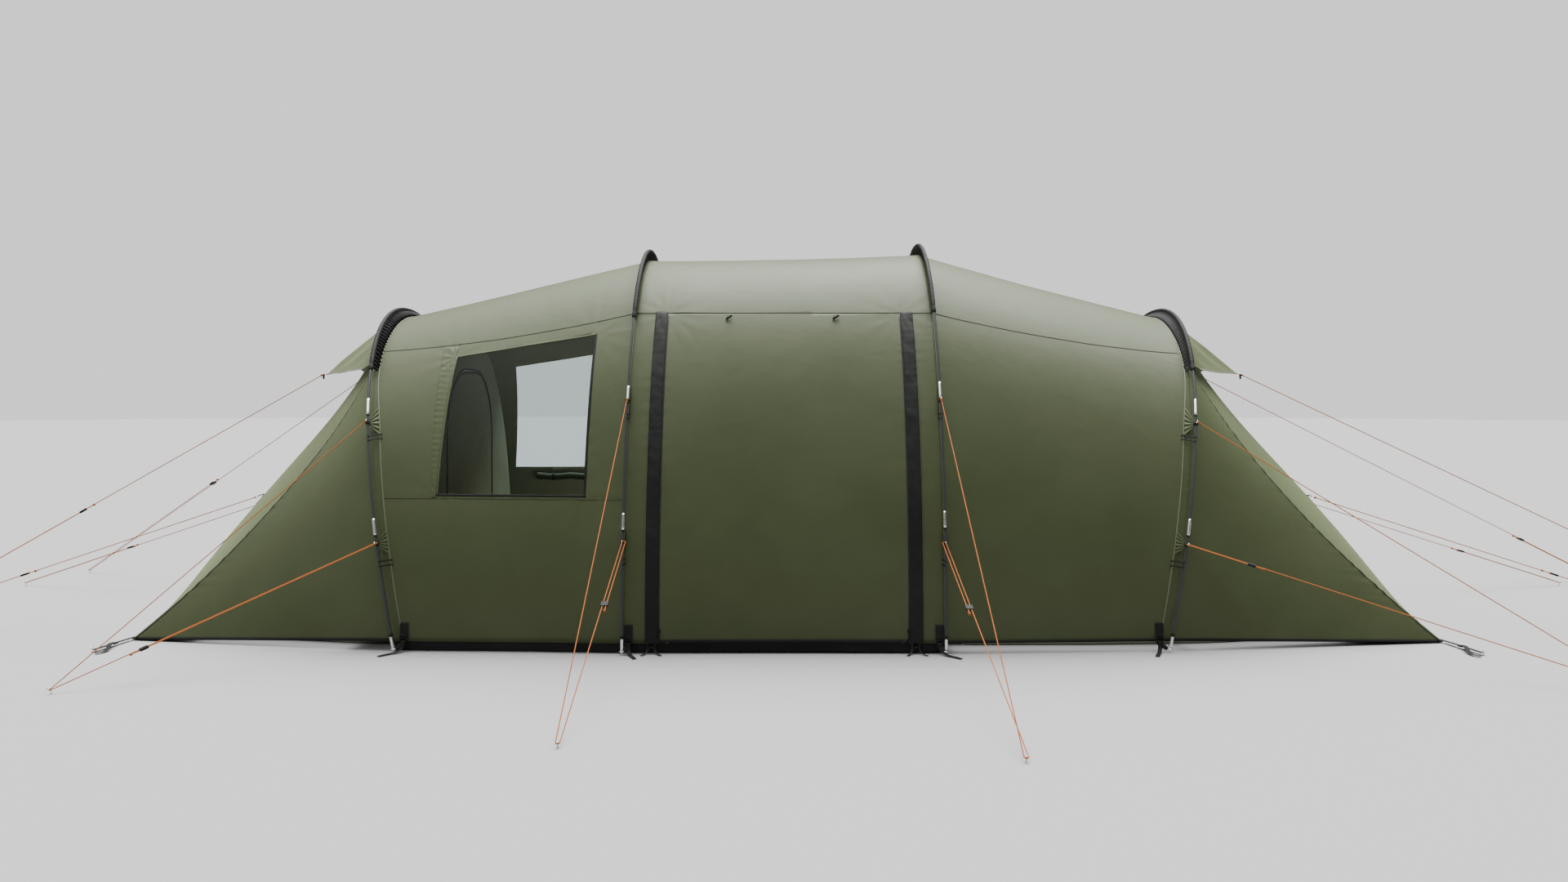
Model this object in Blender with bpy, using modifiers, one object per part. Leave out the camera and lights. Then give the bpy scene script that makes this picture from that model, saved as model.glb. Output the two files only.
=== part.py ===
"""Tunnel tent on four hoop poles, with two bedrooms, two roll-up doors and guy ropes.

Metres, +Z up. The origin is on the ground under the middle of the tent. +X runs along the
tent and -Y is the front, where the window and the front door are.
"""
import math
from collections import namedtuple

import bmesh
import bpy
from mathutils import Matrix, Vector

# ---------------------------------------------------------------- driving dimensions
Hoop = namedtuple("Hoop", "foot_x top_x half_width height ferrules")
HOOPS = (
    Hoop(foot_x=-1.675, top_x=-1.975, half_width=1.14, height=1.555, ferrules=(0.345, 0.68)),
    Hoop(foot_x=-0.69, top_x=-0.69, half_width=1.19, height=1.855, ferrules=(0.305, 0.60)),
    Hoop(foot_x=0.69, top_x=0.69, half_width=1.19, height=1.885, ferrules=(0.305, 0.60)),
    Hoop(foot_x=1.655, top_x=1.955, half_width=1.14, height=1.55, ferrules=(0.345, 0.68)),
)
HOOP_ROUNDNESS = 0.93        # exponent of the arch: 1 is an ellipse, lower is boxier
POLE_RADIUS = 0.0055
FERRULE_SCALE = 1.25         # ferrule and foot radius, as a share of the pole's
FERRULE_LENGTH = 0.07
FERRULE_STEP = 0.005
FOOT_LENGTH = 0.075
FOOT_LIFT = 0.003
SLEEVE_RADIUS = 0.014
SLEEVE_WALL = 0.002
SLEEVE_END_SHARE = 0.80      # height where a pole goes into its sleeve

FLY_THICKNESS = 0.003
LEG_GAP = 0.030              # flysheet to pole centre line, at the legs
TOP_GAP = 0.050              # the same at the top, where the sleeve stands proud
HEM_LIFT = 0.045             # bottom edge of the flysheet above the ground
SEAM_GAP = 0.004             # clear space between two flysheet panels at a hoop
SECTION_SAG = 0.004          # share by which a section narrows half way between two hoops

TIP_X = 2.945                # ground corners of the end panels
TIP_Y = {-1: 0.87, 1: 0.93}
SEAM_TOP_SHARE = 0.81        # height where an end seam meets its hoop
SEAM_HOLLOW = 0.214          # how far the end seams' control point is pulled in
TIP_LIFT = 0.004
END_BOW = 0.05               # ground edge of an end panel, bowed out
END_BULGE = {-1: 0.165, 1: 0.19}  # end panel bulge, greatest at a third of its height

HOOD_OUT = 0.305             # hood corner beyond the hoop's top
HOOD_CORNER_Y = 0.30
HOOD_CORNER_Z = 1.214
HOOD_THICKNESS = 0.003
HOOD_START_SHARE = 0.83
HOOD_SIDE_STEP = 0.022       # hood edge beside the sleeve
HOOD_GAP = 0.045             # hood edge inside the pole's centre line
HOOD_RISE = 0.05             # arch of the hood's outer edge
HOOD_CROWN_STEP = 0.02       # middle of the outer edge, nearer the hoop than its corners
HOOD_FOOT = (0.04, -0.02)    # lower end of the hood's outer edge, from the inner edge
HOOD_CORNER_SHARE = 0.25     # corner's place along the outer edge

DOOR_HALF_WIDTH = 0.537
DOOR_BOTTOM = 0.047
DOOR_TOP = 1.487
DOOR_GAP = 0.003
DOOR_HINGE_STEP = 0.0015     # hinge line outside the door's top edge
FLAP_WIDTH = 0.055
FLAP_STANDOFF = 0.004
FLAP_THICKNESS = 0.0025
FLAP_BOTTOM = 0.046

WINDOW_LEFT = {"front": -1.522, "back": -1.637}
WINDOW_LEAN = {"front": 0.0, "back": 0.117}      # slope of the left edge, x per height
WINDOW_RIGHT = -0.867
WINDOW_BOTTOM = 0.67
WINDOW_TOP_RIGHT = 1.39
WINDOW_TOP_SLOPE = 0.16
WINDOW_GAP = 0.002
PANE_THICKNESS = 0.0015

# stations of a bedroom: distance from the middle, half width, height
BEDROOM_TAPER = (
    (1.90, 0.94, 1.35),
    (2.30, 0.86, 0.84),
    (2.66, 0.80, 0.36),
    (2.82, 0.76, 0.12),
)
BEDROOM_STATIONS = {
    -1: ((1.64, 0.96, 1.428),) + BEDROOM_TAPER,
    1: ((0.80, 0.98, 1.68), (1.35, 0.98, 1.54)) + BEDROOM_TAPER,
}
BEDROOM_WALL = 0.003
BEDROOM_LIFT = 0.004
BEDROOM_DOOR_HALF_WIDTH = 0.45
BEDROOM_DOOR_BOTTOM = 0.12
BEDROOM_DOOR_TOP = 1.24
BEDROOM_DOOR_CORNER = 0.35

GROUNDSHEET_HALF_WIDTH = 0.97
GROUNDSHEET_GAP = 0.01       # to the bedrooms
GROUNDSHEET_THICKNESS = 0.003

ROPE_RADIUS = 0.0015
ROPE_BEND = 0.007            # bend radius round a peg and through a ring
TAB_STEP = 0.022             # rope start, outside the pole's centre line
KNOT_TAIL = 0.05             # rope left past its runner
RUNNER_SIZE = (0.032, 0.027, 0.009)
RUNNER_BORE = 0.0027

# Guy ropes of one hoop: heights of the two tabs, the peg, and the runner's distance from the
# lower tab, as shares of the way to the peg.
HoopGuy = namedtuple("HoopGuy", "upper_z lower_z peg_x peg_y runner_share")
HOOP_GUYS = (
    HoopGuy(upper_z=0.985, lower_z=0.465, peg_x=-2.716, peg_y=1.853, runner_share=0.745),
    HoopGuy(upper_z=1.085, lower_z=0.480, peg_x=-0.710, peg_y=2.537, runner_share=0.38),
    HoopGuy(upper_z=1.085, lower_z=0.475, peg_x=0.730, peg_y=2.688, runner_share=0.38),
    HoopGuy(upper_z=0.980, lower_z=0.460, peg_x=3.164, peg_y=1.877, runner_share=0.16),
)
PEG_HEIGHT = 0.018           # height of the ropes' bend at a peg

# Guy ropes of the two ends: start, peg and the runner's share of the way to the peg.
EndGuy = namedtuple("EndGuy", "name start peg runner_share")
END_GUYS = (
    EndGuy("hood_left_front", (-2.30, -0.30, 1.212), (-4.02, -1.23), 0.53),
    EndGuy("hood_left_back", (-2.30, 0.30, 1.212), (-4.345, 1.23), 0.52),
    EndGuy("hood_right_front", (2.28, -0.30, 1.212), (4.42, -1.23), 0.62),
    EndGuy("hood_right_back", (2.28, 0.30, 1.212), (4.88, 0.95), 0.80),
    EndGuy("end_left_front", (-2.612, -0.35, 0.605), (-4.30, -0.70), 0.60),
    EndGuy("end_left_back", (-2.612, 0.35, 0.605), (-4.417, 0.71), 0.62),
    EndGuy("end_right_front", (2.62, -0.35, 0.605), (4.382, -0.70), 0.60),
    EndGuy("end_right_back", (2.62, 0.35, 0.605), (4.52, 0.71), 0.66),
)

# ---------------------------------------------------------------- mesh resolution
ARCH_CELLS = 24
SECTION_CELLS = 4
SIDE_PANEL_CELLS = 4
END_PANEL_CELLS = 8
END_ROWS = 8
HOOD_COLUMNS = 12
HOOD_ROWS = 3
HOOP_STEPS = 26
SLEEVE_STEPS = 16
BEND_STEPS = 4
STRAND_STEPS = 3
FLOOR_CELLS = 3
CORNER_STEPS = 4

CUTTER_REACH = 0.25          # how far a cutter stands past what it cuts
HALVINGS = 20                # steps of the search for a height on the flysheet
BULGE_PEAK = 4 / 27          # greatest value of v * (1 - v) ** 2
INSIDE_HEIGHT = 0.3          # a point inside the tent, that surfaces are turned away from
INSIDE_STEP = 0.2
TINY = 1e-6
MIRROR_Y = Vector((1, -1, 1))


# ---------------------------------------------------------------- scene helpers
def clear_scene():
    for item in list(bpy.data.objects):
        bpy.data.objects.remove(item, do_unlink=True)


def make_collection(name):
    collection = bpy.data.collections.new(name)
    bpy.context.scene.collection.children.link(collection)
    return collection


def make_material(name, color, roughness, metallic=0.0, transmission=0.0):
    material = bpy.data.materials.new(name)
    material.use_nodes = True
    shader = material.node_tree.nodes["Principled BSDF"]
    shader.inputs["Base Color"].default_value = (*color, 1.0)
    shader.inputs["Roughness"].default_value = roughness
    shader.inputs["Metallic"].default_value = metallic
    shader.inputs["Transmission Weight"].default_value = transmission
    material.diffuse_color = (*color, 1.0)
    return material


clear_scene()
PARTS = make_collection("tunnel_tent")
CUTTERS = make_collection("cutters")
FLY_FABRIC = make_material("olive_polyester", (0.105, 0.120, 0.070), 0.75)
SLEEVE_FABRIC = make_material("black_sleeve_polyester", (0.018, 0.018, 0.020), 0.8)
POLE_FIBREGLASS = make_material("dark_fibreglass", (0.03, 0.03, 0.035), 0.4)
CLEAR_PVC = make_material("clear_pvc", (0.75, 0.82, 0.85), 0.1, transmission=0.9)
BREATHABLE = make_material("grey_breathable_polyester", (0.12, 0.13, 0.09), 0.85)
GROUND_PE = make_material("grey_polyethylene", (0.05, 0.05, 0.05), 0.6)
ROPE_ORANGE = make_material("orange_rope", (0.65, 0.16, 0.03), 0.7)
RUNNER_PLASTIC = make_material("black_plastic", (0.02, 0.02, 0.02), 0.45)


def add_object(name, data, material, origin=(0, 0, 0), collection=PARTS):
    item = bpy.data.objects.new(name, data)
    item.location = origin
    collection.objects.link(item)
    if material and not data.materials:
        data.materials.append(material)
    return item


def solidify(item, thickness, offset=-1.0):
    shell = item.modifiers.new("thickness", "SOLIDIFY")
    shell.thickness = thickness
    shell.offset = offset
    shell.use_even_offset = True
    return shell


def boolean(item, cutter, operation):
    cut = item.modifiers.new(operation.lower(), "BOOLEAN")
    cut.operation = operation
    cut.object = cutter
    cut.solver = "EXACT"
    return cut


def surface_object(name, columns, rows, place, material, inside, origin=(0, 0, 0)):
    """A grid whose points go where place(u, v) says, with its faces turned from inside."""
    mesh = bpy.data.meshes.new(name)
    grid = bmesh.new()
    bmesh.ops.create_grid(grid, x_segments=columns, y_segments=rows, size=1.0)
    for vertex in grid.verts:
        u = (vertex.co.x + 1) / 2
        v = (vertex.co.y + 1) / 2
        vertex.co = place(u, v) - Vector(origin)
    bmesh.ops.remove_doubles(grid, verts=grid.verts, dist=0.0001)
    grid.normal_update()
    middle = Vector(inside) - Vector(origin)
    facing = sum((face.calc_center_median() - middle).dot(face.normal) for face in grid.faces)
    if facing < 0:
        bmesh.ops.reverse_faces(grid, faces=grid.faces)
    grid.to_mesh(mesh)
    grid.free()
    return add_object(name, mesh, material, origin)


def prism_mesh(name, outline, axis, start, end):
    """A solid with the given outline, pushed along one axis from start to end."""
    def spot(a, b, depth):
        return (a, depth, b) if axis == "Y" else (depth, a, b)

    mesh = bpy.data.meshes.new(name)
    solid = bmesh.new()
    corners = [solid.verts.new(spot(a, b, start)) for a, b in outline]
    face = solid.faces.new(corners)
    grown = bmesh.ops.extrude_face_region(solid, geom=[face])
    moved = [item for item in grown["geom"] if isinstance(item, bmesh.types.BMVert)]
    step = Vector(spot(0, 0, end - start))
    bmesh.ops.translate(solid, verts=moved, vec=step)
    bmesh.ops.recalc_face_normals(solid, faces=solid.faces)
    solid.to_mesh(mesh)
    solid.free()
    return mesh


def cutter_prism(name, outline, start, end, axis="Y"):
    item = add_object(name, prism_mesh(name, outline, axis, start, end), None, collection=CUTTERS)
    item.hide_render = True
    item.display_type = "WIRE"
    return item


def tube(name, points, radius, material, scales=None, resolution=2, caps=True):
    curve = bpy.data.curves.new(name, "CURVE")
    curve.dimensions = "3D"
    curve.bevel_depth = radius
    curve.bevel_resolution = resolution
    curve.use_fill_caps = caps
    spline = curve.splines.new("POLY")
    spline.points.add(len(points) - 1)
    for index, point in enumerate(points):
        spline.points[index].co = (*point, 1.0)
        spline.points[index].radius = scales[index] if scales else 1.0
    return add_object(name, curve, material)


# ---------------------------------------------------------------- geometry of the hoops
def hoop_point(hoop, angle, leg_gap=0.0, top_gap=0.0):
    """Point of a hoop's curve. The angle runs from 0 at the front foot to pi at the back."""
    cosine = math.cos(angle)
    sine = max(math.sin(angle), 0.0)
    y = -(hoop.half_width - leg_gap) * math.copysign(abs(cosine) ** HOOP_ROUNDNESS, cosine)
    z = (hoop.height - top_gap) * sine ** HOOP_ROUNDNESS
    return Vector((lean_x(hoop, z), y, z))


def lean_x(hoop, z):
    return hoop.foot_x + (hoop.top_x - hoop.foot_x) * z / hoop.height


def fly_point(hoop, angle):
    return hoop_point(hoop, angle, LEG_GAP, TOP_GAP)


def hoop_angle(hoop, z, top_gap=0.0):
    """Angle at which the front leg reaches a height."""
    share = min(z / (hoop.height - top_gap), 1.0)
    return math.asin(share ** (1 / HOOP_ROUNDNESS))


# ---------------------------------------------------------------- flysheet
def fly_angle(hoop, share):
    """Angle at a share of the way over a hoop, from the front hem to the back hem."""
    hem = hoop_angle(hoop, HEM_LIFT, TOP_GAP)
    return hem + (math.pi - 2 * hem) * share


def section_place(left, right, grow=0.0):
    """Surface of the flysheet between two hoops, pushed out by grow."""
    def place(u, v):
        angle = fly_angle(left, v)
        start = fly_point(left, angle)
        end = fly_point(right, fly_angle(right, v))
        gap = SEAM_GAP / (end.x - start.x)
        along = gap + (1 - 2 * gap) * u
        point = start.lerp(end, along)
        pinch = 1 - SECTION_SAG * 4 * along * (1 - along)
        point.y = point.y * pinch - grow * math.cos(angle)
        point.z = point.z * pinch + grow * math.sin(angle)
        return point

    return place


def make_section(name, left, right):
    inside = ((left.foot_x + right.foot_x) / 2, 0, INSIDE_HEIGHT)
    item = surface_object(name, SECTION_CELLS, ARCH_CELLS, section_place(left, right),
                          FLY_FABRIC, inside)
    solidify(item, FLY_THICKNESS)
    return item


def patch(name, left, right, outline, front, grow, thickness, material, origin=(0, 0, 0)):
    """The part of a section's surface that lies inside an outline, on one side of the tent."""
    inside = ((left.foot_x + right.foot_x) / 2, 0, INSIDE_HEIGHT)
    item = surface_object(name, SECTION_CELLS, ARCH_CELLS, section_place(left, right, grow),
                          material, inside, origin)
    solidify(item, thickness)
    reach = left.half_width + CUTTER_REACH
    start, end = (-reach, 0) if front else (0, reach)
    boolean(item, cutter_prism(name + "_cutter", outline, start, end), "INTERSECT")
    return item


def box_outline(side, low, top):
    return [(-side, low), (side, low), (side, top), (-side, top)]


def window_outline(place, margin):
    left, lean = WINDOW_LEFT[place], WINDOW_LEAN[place]
    level = WINDOW_TOP_RIGHT - (WINDOW_RIGHT - left) * WINDOW_TOP_SLOPE - WINDOW_BOTTOM
    rise = level / (1 - lean * WINDOW_TOP_SLOPE)
    return [
        (left - margin, WINDOW_BOTTOM - margin),
        (WINDOW_RIGHT + margin, WINDOW_BOTTOM - margin),
        (WINDOW_RIGHT + margin, WINDOW_TOP_RIGHT + margin),
        (left + lean * rise - margin, WINDOW_BOTTOM + rise + margin),
    ]


def flap_outline(side):
    inner = side * (DOOR_HALF_WIDTH + DOOR_GAP)
    outer = inner + side * FLAP_WIDTH
    low, high = sorted((inner, outer))
    return [(low, FLAP_BOTTOM), (high, FLAP_BOTTOM), (high, DOOR_TOP), (low, DOOR_TOP)]


def make_flysheet():
    first, second, third, fourth = HOOPS
    reach = second.half_width + CUTTER_REACH

    left = make_section("fly_section_left", first, second)
    for place, front in (("front", True), ("back", False)):
        start, end = (-reach, 0) if front else (0, reach)
        hole = cutter_prism("window_hole_" + place, window_outline(place, WINDOW_GAP), start, end)
        boolean(left, hole, "DIFFERENCE")
        patch("window_" + place, first, second, window_outline(place, 0), front, 0.0,
              PANE_THICKNESS, CLEAR_PVC)

    middle = make_section("fly_section_middle", second, third)
    doorway = box_outline(DOOR_HALF_WIDTH + DOOR_GAP, -CUTTER_REACH, DOOR_TOP + DOOR_GAP)
    boolean(middle, cutter_prism("doorway", doorway, -reach, reach), "DIFFERENCE")
    door = box_outline(DOOR_HALF_WIDTH, DOOR_BOTTOM, DOOR_TOP)
    for place, front in (("front", True), ("back", False)):
        hinge, _ = door_hinge(-1 if front else 1)
        patch("door_" + place, second, third, door, front, 0.0, FLY_THICKNESS, FLY_FABRIC, hinge)
        for label, side in (("left", -1), ("right", 1)):
            patch("zip_flap_" + place + "_" + label, second, third, flap_outline(side), front,
                  FLAP_STANDOFF + FLAP_THICKNESS, FLAP_THICKNESS, SLEEVE_FABRIC)

    make_section("fly_section_right", third, fourth)
    make_end("fly_end_left", first, -1)
    make_end("fly_end_right", fourth, 1)


def door_edge_y(x):
    """Distance of a door's top edge from the tent's middle plane, at one place along it."""
    left, right = HOOPS[1], HOOPS[2]
    surface = section_place(left, right)
    share = (x - left.foot_x) / (right.foot_x - left.foot_x)
    low, high = 0.0, 0.5
    for _ in range(HALVINGS):
        middle = (low + high) / 2
        if surface(share, middle).z < DOOR_TOP:
            low = middle
        else:
            high = middle
    return -surface(share, low).y


def door_hinge(sign):
    """Middle and direction of a door's level hinge line, just outside its top corners."""
    left, right = (
        Vector((x, sign * (door_edge_y(x) + DOOR_HINGE_STEP), DOOR_TOP))
        for x in (-DOOR_HALF_WIDTH, DOOR_HALF_WIDTH)
    )
    return (left + right) / 2, (right - left).normalized()


# ---------------------------------------------------------------- tapered ends
def end_curves(hoop, side):
    """Corner, seam top and seam curve of one end, on the front side."""
    shifted = hoop._replace(foot_x=hoop.foot_x + side * SEAM_GAP, top_x=hoop.top_x + side * SEAM_GAP)
    top_angle = hoop_angle(hoop, SEAM_TOP_SHARE * hoop.height, TOP_GAP)
    hem_angle = hoop_angle(hoop, HEM_LIFT, TOP_GAP)
    corner = Vector((side * TIP_X, -TIP_Y[side], TIP_LIFT))
    top = fly_point(shifted, top_angle)
    knee = (corner + top) / 2 - Vector((side * SEAM_HOLLOW, 0, 0))

    def seam(v):
        return corner * (1 - v) ** 2 + knee * 2 * v * (1 - v) + top * v ** 2

    def leg(v):
        return fly_point(shifted, hem_angle + (top_angle - hem_angle) * v)

    return shifted, top_angle, corner, top, seam, leg


def end_place(hoop, side):
    shifted, top_angle, corner, top, seam, leg = end_curves(hoop, side)
    flip = MIRROR_Y
    side_share = SIDE_PANEL_CELLS / (2 * SIDE_PANEL_CELLS + END_PANEL_CELLS)

    def ground(w):
        bow = side * END_BOW * 4 * w * (1 - w)
        return Vector((corner.x + bow, corner.y * (1 - 2 * w), corner.z))

    def arch(w):
        return fly_point(shifted, top_angle + (math.pi - 2 * top_angle) * w)

    def end_panel(w, v):
        near, far = seam(v), seam(v) * flip
        rows = ground(w) * (1 - v) + arch(w) * v + near * (1 - w) + far * w
        lower = corner * (1 - w) + corner * flip * w
        upper = top * (1 - w) + top * flip * w
        point = rows - lower * (1 - v) - upper * v
        swell = v * (1 - v) ** 2 / BULGE_PEAK
        point.x += side * END_BULGE[side] * swell * 4 * w * (1 - w)
        return point

    def place(u, v):
        if u <= side_share + TINY:
            return leg(v).lerp(seam(v), u / side_share)
        if u >= 1 - side_share - TINY:
            return (leg(v) * flip).lerp(seam(v) * flip, (1 - u) / side_share)
        return end_panel((u - side_share) / (1 - 2 * side_share), v)

    return place


def make_end(name, hoop, side):
    columns = 2 * SIDE_PANEL_CELLS + END_PANEL_CELLS
    inside = (hoop.foot_x + side * INSIDE_STEP, 0, INSIDE_HEIGHT)
    item = surface_object(name, columns, END_ROWS, end_place(hoop, side), FLY_FABRIC, inside)
    solidify(item, FLY_THICKNESS)


def make_hood(name, hoop, side):
    """Small canopy over an end's vent, from the hoop's top out to two guyed corners."""
    start_angle = hoop_angle(hoop, HOOD_START_SHARE * hoop.height)
    corner_x = hoop.top_x + side * HOOD_OUT
    corner = Vector((corner_x, -HOOD_CORNER_Y, HOOD_CORNER_Z))
    crown = Vector((corner_x - side * HOOD_CROWN_STEP, 0, HOOD_CORNER_Z + HOOD_RISE))

    def inner(u):
        angle = start_angle + (math.pi - 2 * start_angle) * u
        point = hoop_point(hoop, angle, HOOD_GAP, HOOD_GAP)
        return point + Vector((side * HOOD_SIDE_STEP, 0, 0))

    def outer(u):
        if u > 0.5:
            return outer(1 - u) * MIRROR_Y
        if u < HOOD_CORNER_SHARE:
            foot = inner(0) + Vector((side * HOOD_FOOT[0], 0, HOOD_FOOT[1]))
            return foot.lerp(corner, u / HOOD_CORNER_SHARE)
        across = (u - HOOD_CORNER_SHARE) / (0.5 - HOOD_CORNER_SHARE)
        point = corner.lerp(crown, across)
        point.z = HOOD_CORNER_Z + HOOD_RISE * math.sin(across * math.pi / 2)
        return point

    def place(u, v):
        return inner(u).lerp(outer(u), v)

    inside = (hoop.foot_x, 0, INSIDE_HEIGHT)
    item = surface_object(name, HOOD_COLUMNS, HOOD_ROWS, place, FLY_FABRIC, inside)
    solidify(item, HOOD_THICKNESS, offset=1.0)


# ---------------------------------------------------------------- poles and sleeves
def pole_stations(hoop):
    """Heights and radius scales up one leg, at the foot and at the ferrules."""
    stations = [
        (FOOT_LIFT, FERRULE_SCALE),
        (FOOT_LENGTH, FERRULE_SCALE),
        (FOOT_LENGTH + FERRULE_STEP, 1.0),
    ]
    half = FERRULE_LENGTH / 2
    for share in hoop.ferrules:
        middle = share * hoop.height
        stations += [
            (middle - half - FERRULE_STEP, 1.0),
            (middle - half, FERRULE_SCALE),
            (middle + half, FERRULE_SCALE),
            (middle + half + FERRULE_STEP, 1.0),
        ]
    return stations


def make_pole(name, hoop):
    stations = [(hoop_angle(hoop, z), scale) for z, scale in pole_stations(hoop)]
    clear = math.pi / HOOP_STEPS / 2
    for step in range(1, HOOP_STEPS // 2 + 1):
        angle = math.pi * step / HOOP_STEPS
        if all(abs(angle - known) > clear for known, _ in stations):
            stations.append((angle, 1.0))
    stations.sort()
    front = [pair for pair in stations if pair[0] < math.pi / 2 - TINY]
    back = [(math.pi - angle, scale) for angle, scale in reversed(front)]
    whole = front + [(math.pi / 2, 1.0)] + back
    points = [hoop_point(hoop, angle) for angle, _ in whole]
    scales = [scale for _, scale in whole]
    tube(name, points, POLE_RADIUS, POLE_FIBREGLASS, scales, resolution=1)


def make_sleeve(name, hoop):
    start = hoop_angle(hoop, SLEEVE_END_SHARE * hoop.height)
    points = []
    for step in range(SLEEVE_STEPS + 1):
        angle = start + (math.pi - 2 * start) * step / SLEEVE_STEPS
        points.append(hoop_point(hoop, angle))
    item = tube(name, points, SLEEVE_RADIUS, SLEEVE_FABRIC, resolution=1, caps=False)
    solidify(item, SLEEVE_WALL)


# ---------------------------------------------------------------- bedrooms and floor
def arch_loop(half_width, height, cells):
    """Points over an arch from front to back, then back along the floor."""
    points = []
    for step in range(cells + 1):
        angle = math.pi * step / cells
        cosine = math.cos(angle)
        y = -half_width * math.copysign(abs(cosine) ** HOOP_ROUNDNESS, cosine)
        points.append((y, BEDROOM_LIFT + height * max(math.sin(angle), 0.0) ** HOOP_ROUNDNESS))
    for step in range(1, FLOOR_CELLS):
        points.append((half_width * (1 - 2 * step / FLOOR_CELLS), BEDROOM_LIFT))
    return points


def bedroom_door_outline(margin):
    """Outline of a bedroom doorway, with round upper corners."""
    side = BEDROOM_DOOR_HALF_WIDTH - margin
    low = BEDROOM_DOOR_BOTTOM + margin
    radius = BEDROOM_DOOR_CORNER - margin
    centre_y = side - radius
    centre_z = BEDROOM_DOOR_TOP - margin - radius
    outline = [(-side, low), (side, low)]
    for centre, quarter in ((centre_y, 0), (-centre_y, 1)):
        for step in range(CORNER_STEPS + 1):
            angle = math.pi / 2 * (quarter + step / CORNER_STEPS)
            outline.append((centre + radius * math.cos(angle), centre_z + radius * math.sin(angle)))
    return outline


def bedroom_front(side):
    """X of a bedroom's front wall."""
    return side * BEDROOM_STATIONS[side][0][0]


def make_bedroom(name, side):
    mesh = bpy.data.meshes.new(name)
    room = bmesh.new()
    rings = []
    for x, half_width, height in BEDROOM_STATIONS[side]:
        loop = arch_loop(half_width, height, ARCH_CELLS // 2)
        rings.append([room.verts.new((side * x, y, z)) for y, z in loop])
    count = len(rings[0])
    for ring, following in zip(rings, rings[1:]):
        for index in range(count):
            after = (index + 1) % count
            room.faces.new((ring[index], ring[after], following[after], following[index]))
    room.faces.new(rings[0])
    room.faces.new(rings[-1])
    bmesh.ops.recalc_face_normals(room, faces=room.faces)
    room.to_mesh(mesh)
    room.free()
    item = add_object(name, mesh, BREATHABLE)
    solidify(item, BEDROOM_WALL)
    front = bedroom_front(side)
    start, end = front - CUTTER_REACH, front + CUTTER_REACH
    doorway = cutter_prism(name + "_doorway", bedroom_door_outline(0), start, end, axis="X")
    boolean(item, doorway, "DIFFERENCE")


def make_bedroom_door(name, side):
    front = bedroom_front(side)
    start, end = sorted((front, front + side * BEDROOM_WALL))
    mesh = prism_mesh(name, bedroom_door_outline(DOOR_GAP), "X", start, end)
    hinge = Vector((front, BEDROOM_DOOR_HALF_WIDTH - DOOR_GAP, 0))
    mesh.transform(Matrix.Translation(-hinge))
    add_object(name, mesh, BREATHABLE, hinge)


def make_groundsheet():
    bpy.ops.mesh.primitive_cube_add(size=1.0)
    item = bpy.context.object
    item.name = "groundsheet"
    for owner in list(item.users_collection):
        owner.objects.unlink(item)
    PARTS.objects.link(item)
    left = bedroom_front(-1) + GROUNDSHEET_GAP
    right = bedroom_front(1) - GROUNDSHEET_GAP
    size = (right - left, 2 * GROUNDSHEET_HALF_WIDTH, GROUNDSHEET_THICKNESS)
    item.data.transform(Matrix.Diagonal((*size, 1.0)))
    item.location = ((left + right) / 2, 0, GROUNDSHEET_THICKNESS / 2)
    item.data.materials.append(GROUND_PE)


# ---------------------------------------------------------------- guy ropes and runners
def level_normal(direction):
    """Level unit vector square to a direction."""
    return direction.cross(Vector((0, 0, 1))).normalized()


def strand(start, end):
    return [start.lerp(end, step / STRAND_STEPS) for step in range(STRAND_STEPS + 1)]


def bend(first, last, outward):
    """Points between the ends of a half circle that bulges outward."""
    centre = (first + last) / 2
    arm = first - centre
    points = []
    for step in range(1, BEND_STEPS):
        angle = math.pi * step / BEND_STEPS
        points.append(centre + arm * math.cos(angle) + outward * arm.length * math.sin(angle))
    return points


def runner_matrix(place, along, across):
    upright = along.cross(across).normalized()
    turn = Matrix((along, across, upright)).transposed().to_4x4()
    return Matrix.Translation(place) @ turn


def end_route(start, peg, runner_share):
    """Tab, through the runner, round the peg and back to a knot past the runner."""
    towards = (peg - start).normalized()
    across = level_normal(towards) * ROPE_BEND
    out_end = peg + across
    start = start + across
    back_start = peg - across
    length = (out_end - start).length
    towards = (out_end - start).normalized()
    runner_at = length * runner_share
    back_end = back_start - towards * (length - runner_at + KNOT_TAIL)
    points = strand(start, out_end) + bend(out_end, back_start, towards)
    points += strand(back_start, back_end)
    place = start + towards * runner_at - across
    return points, runner_matrix(place, towards, across.normalized())


def hoop_route(upper, lower, peg, runner_share):
    """Upper tab, round the peg, through the lower tab's ring and back down to a knot."""
    mean = (peg - (upper + lower) / 2).normalized()
    across = level_normal(mean) * ROPE_BEND
    up_start = peg - across
    towards = (up_start - lower).normalized()
    aside = level_normal(towards) * ROPE_BEND
    if aside.y * lower.y > 0:
        aside.negate()
    ring_end = lower - aside * 2
    runner_at = (up_start - lower).length * runner_share
    knot = ring_end + towards * (runner_at + KNOT_TAIL)
    points = strand(upper, peg + across) + bend(peg + across, up_start, mean)
    points += strand(up_start, lower) + bend(lower, ring_end, -towards)
    points += strand(ring_end, knot)
    place = lower + towards * runner_at - aside
    return points, runner_matrix(place, towards, aside.normalized())


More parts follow.
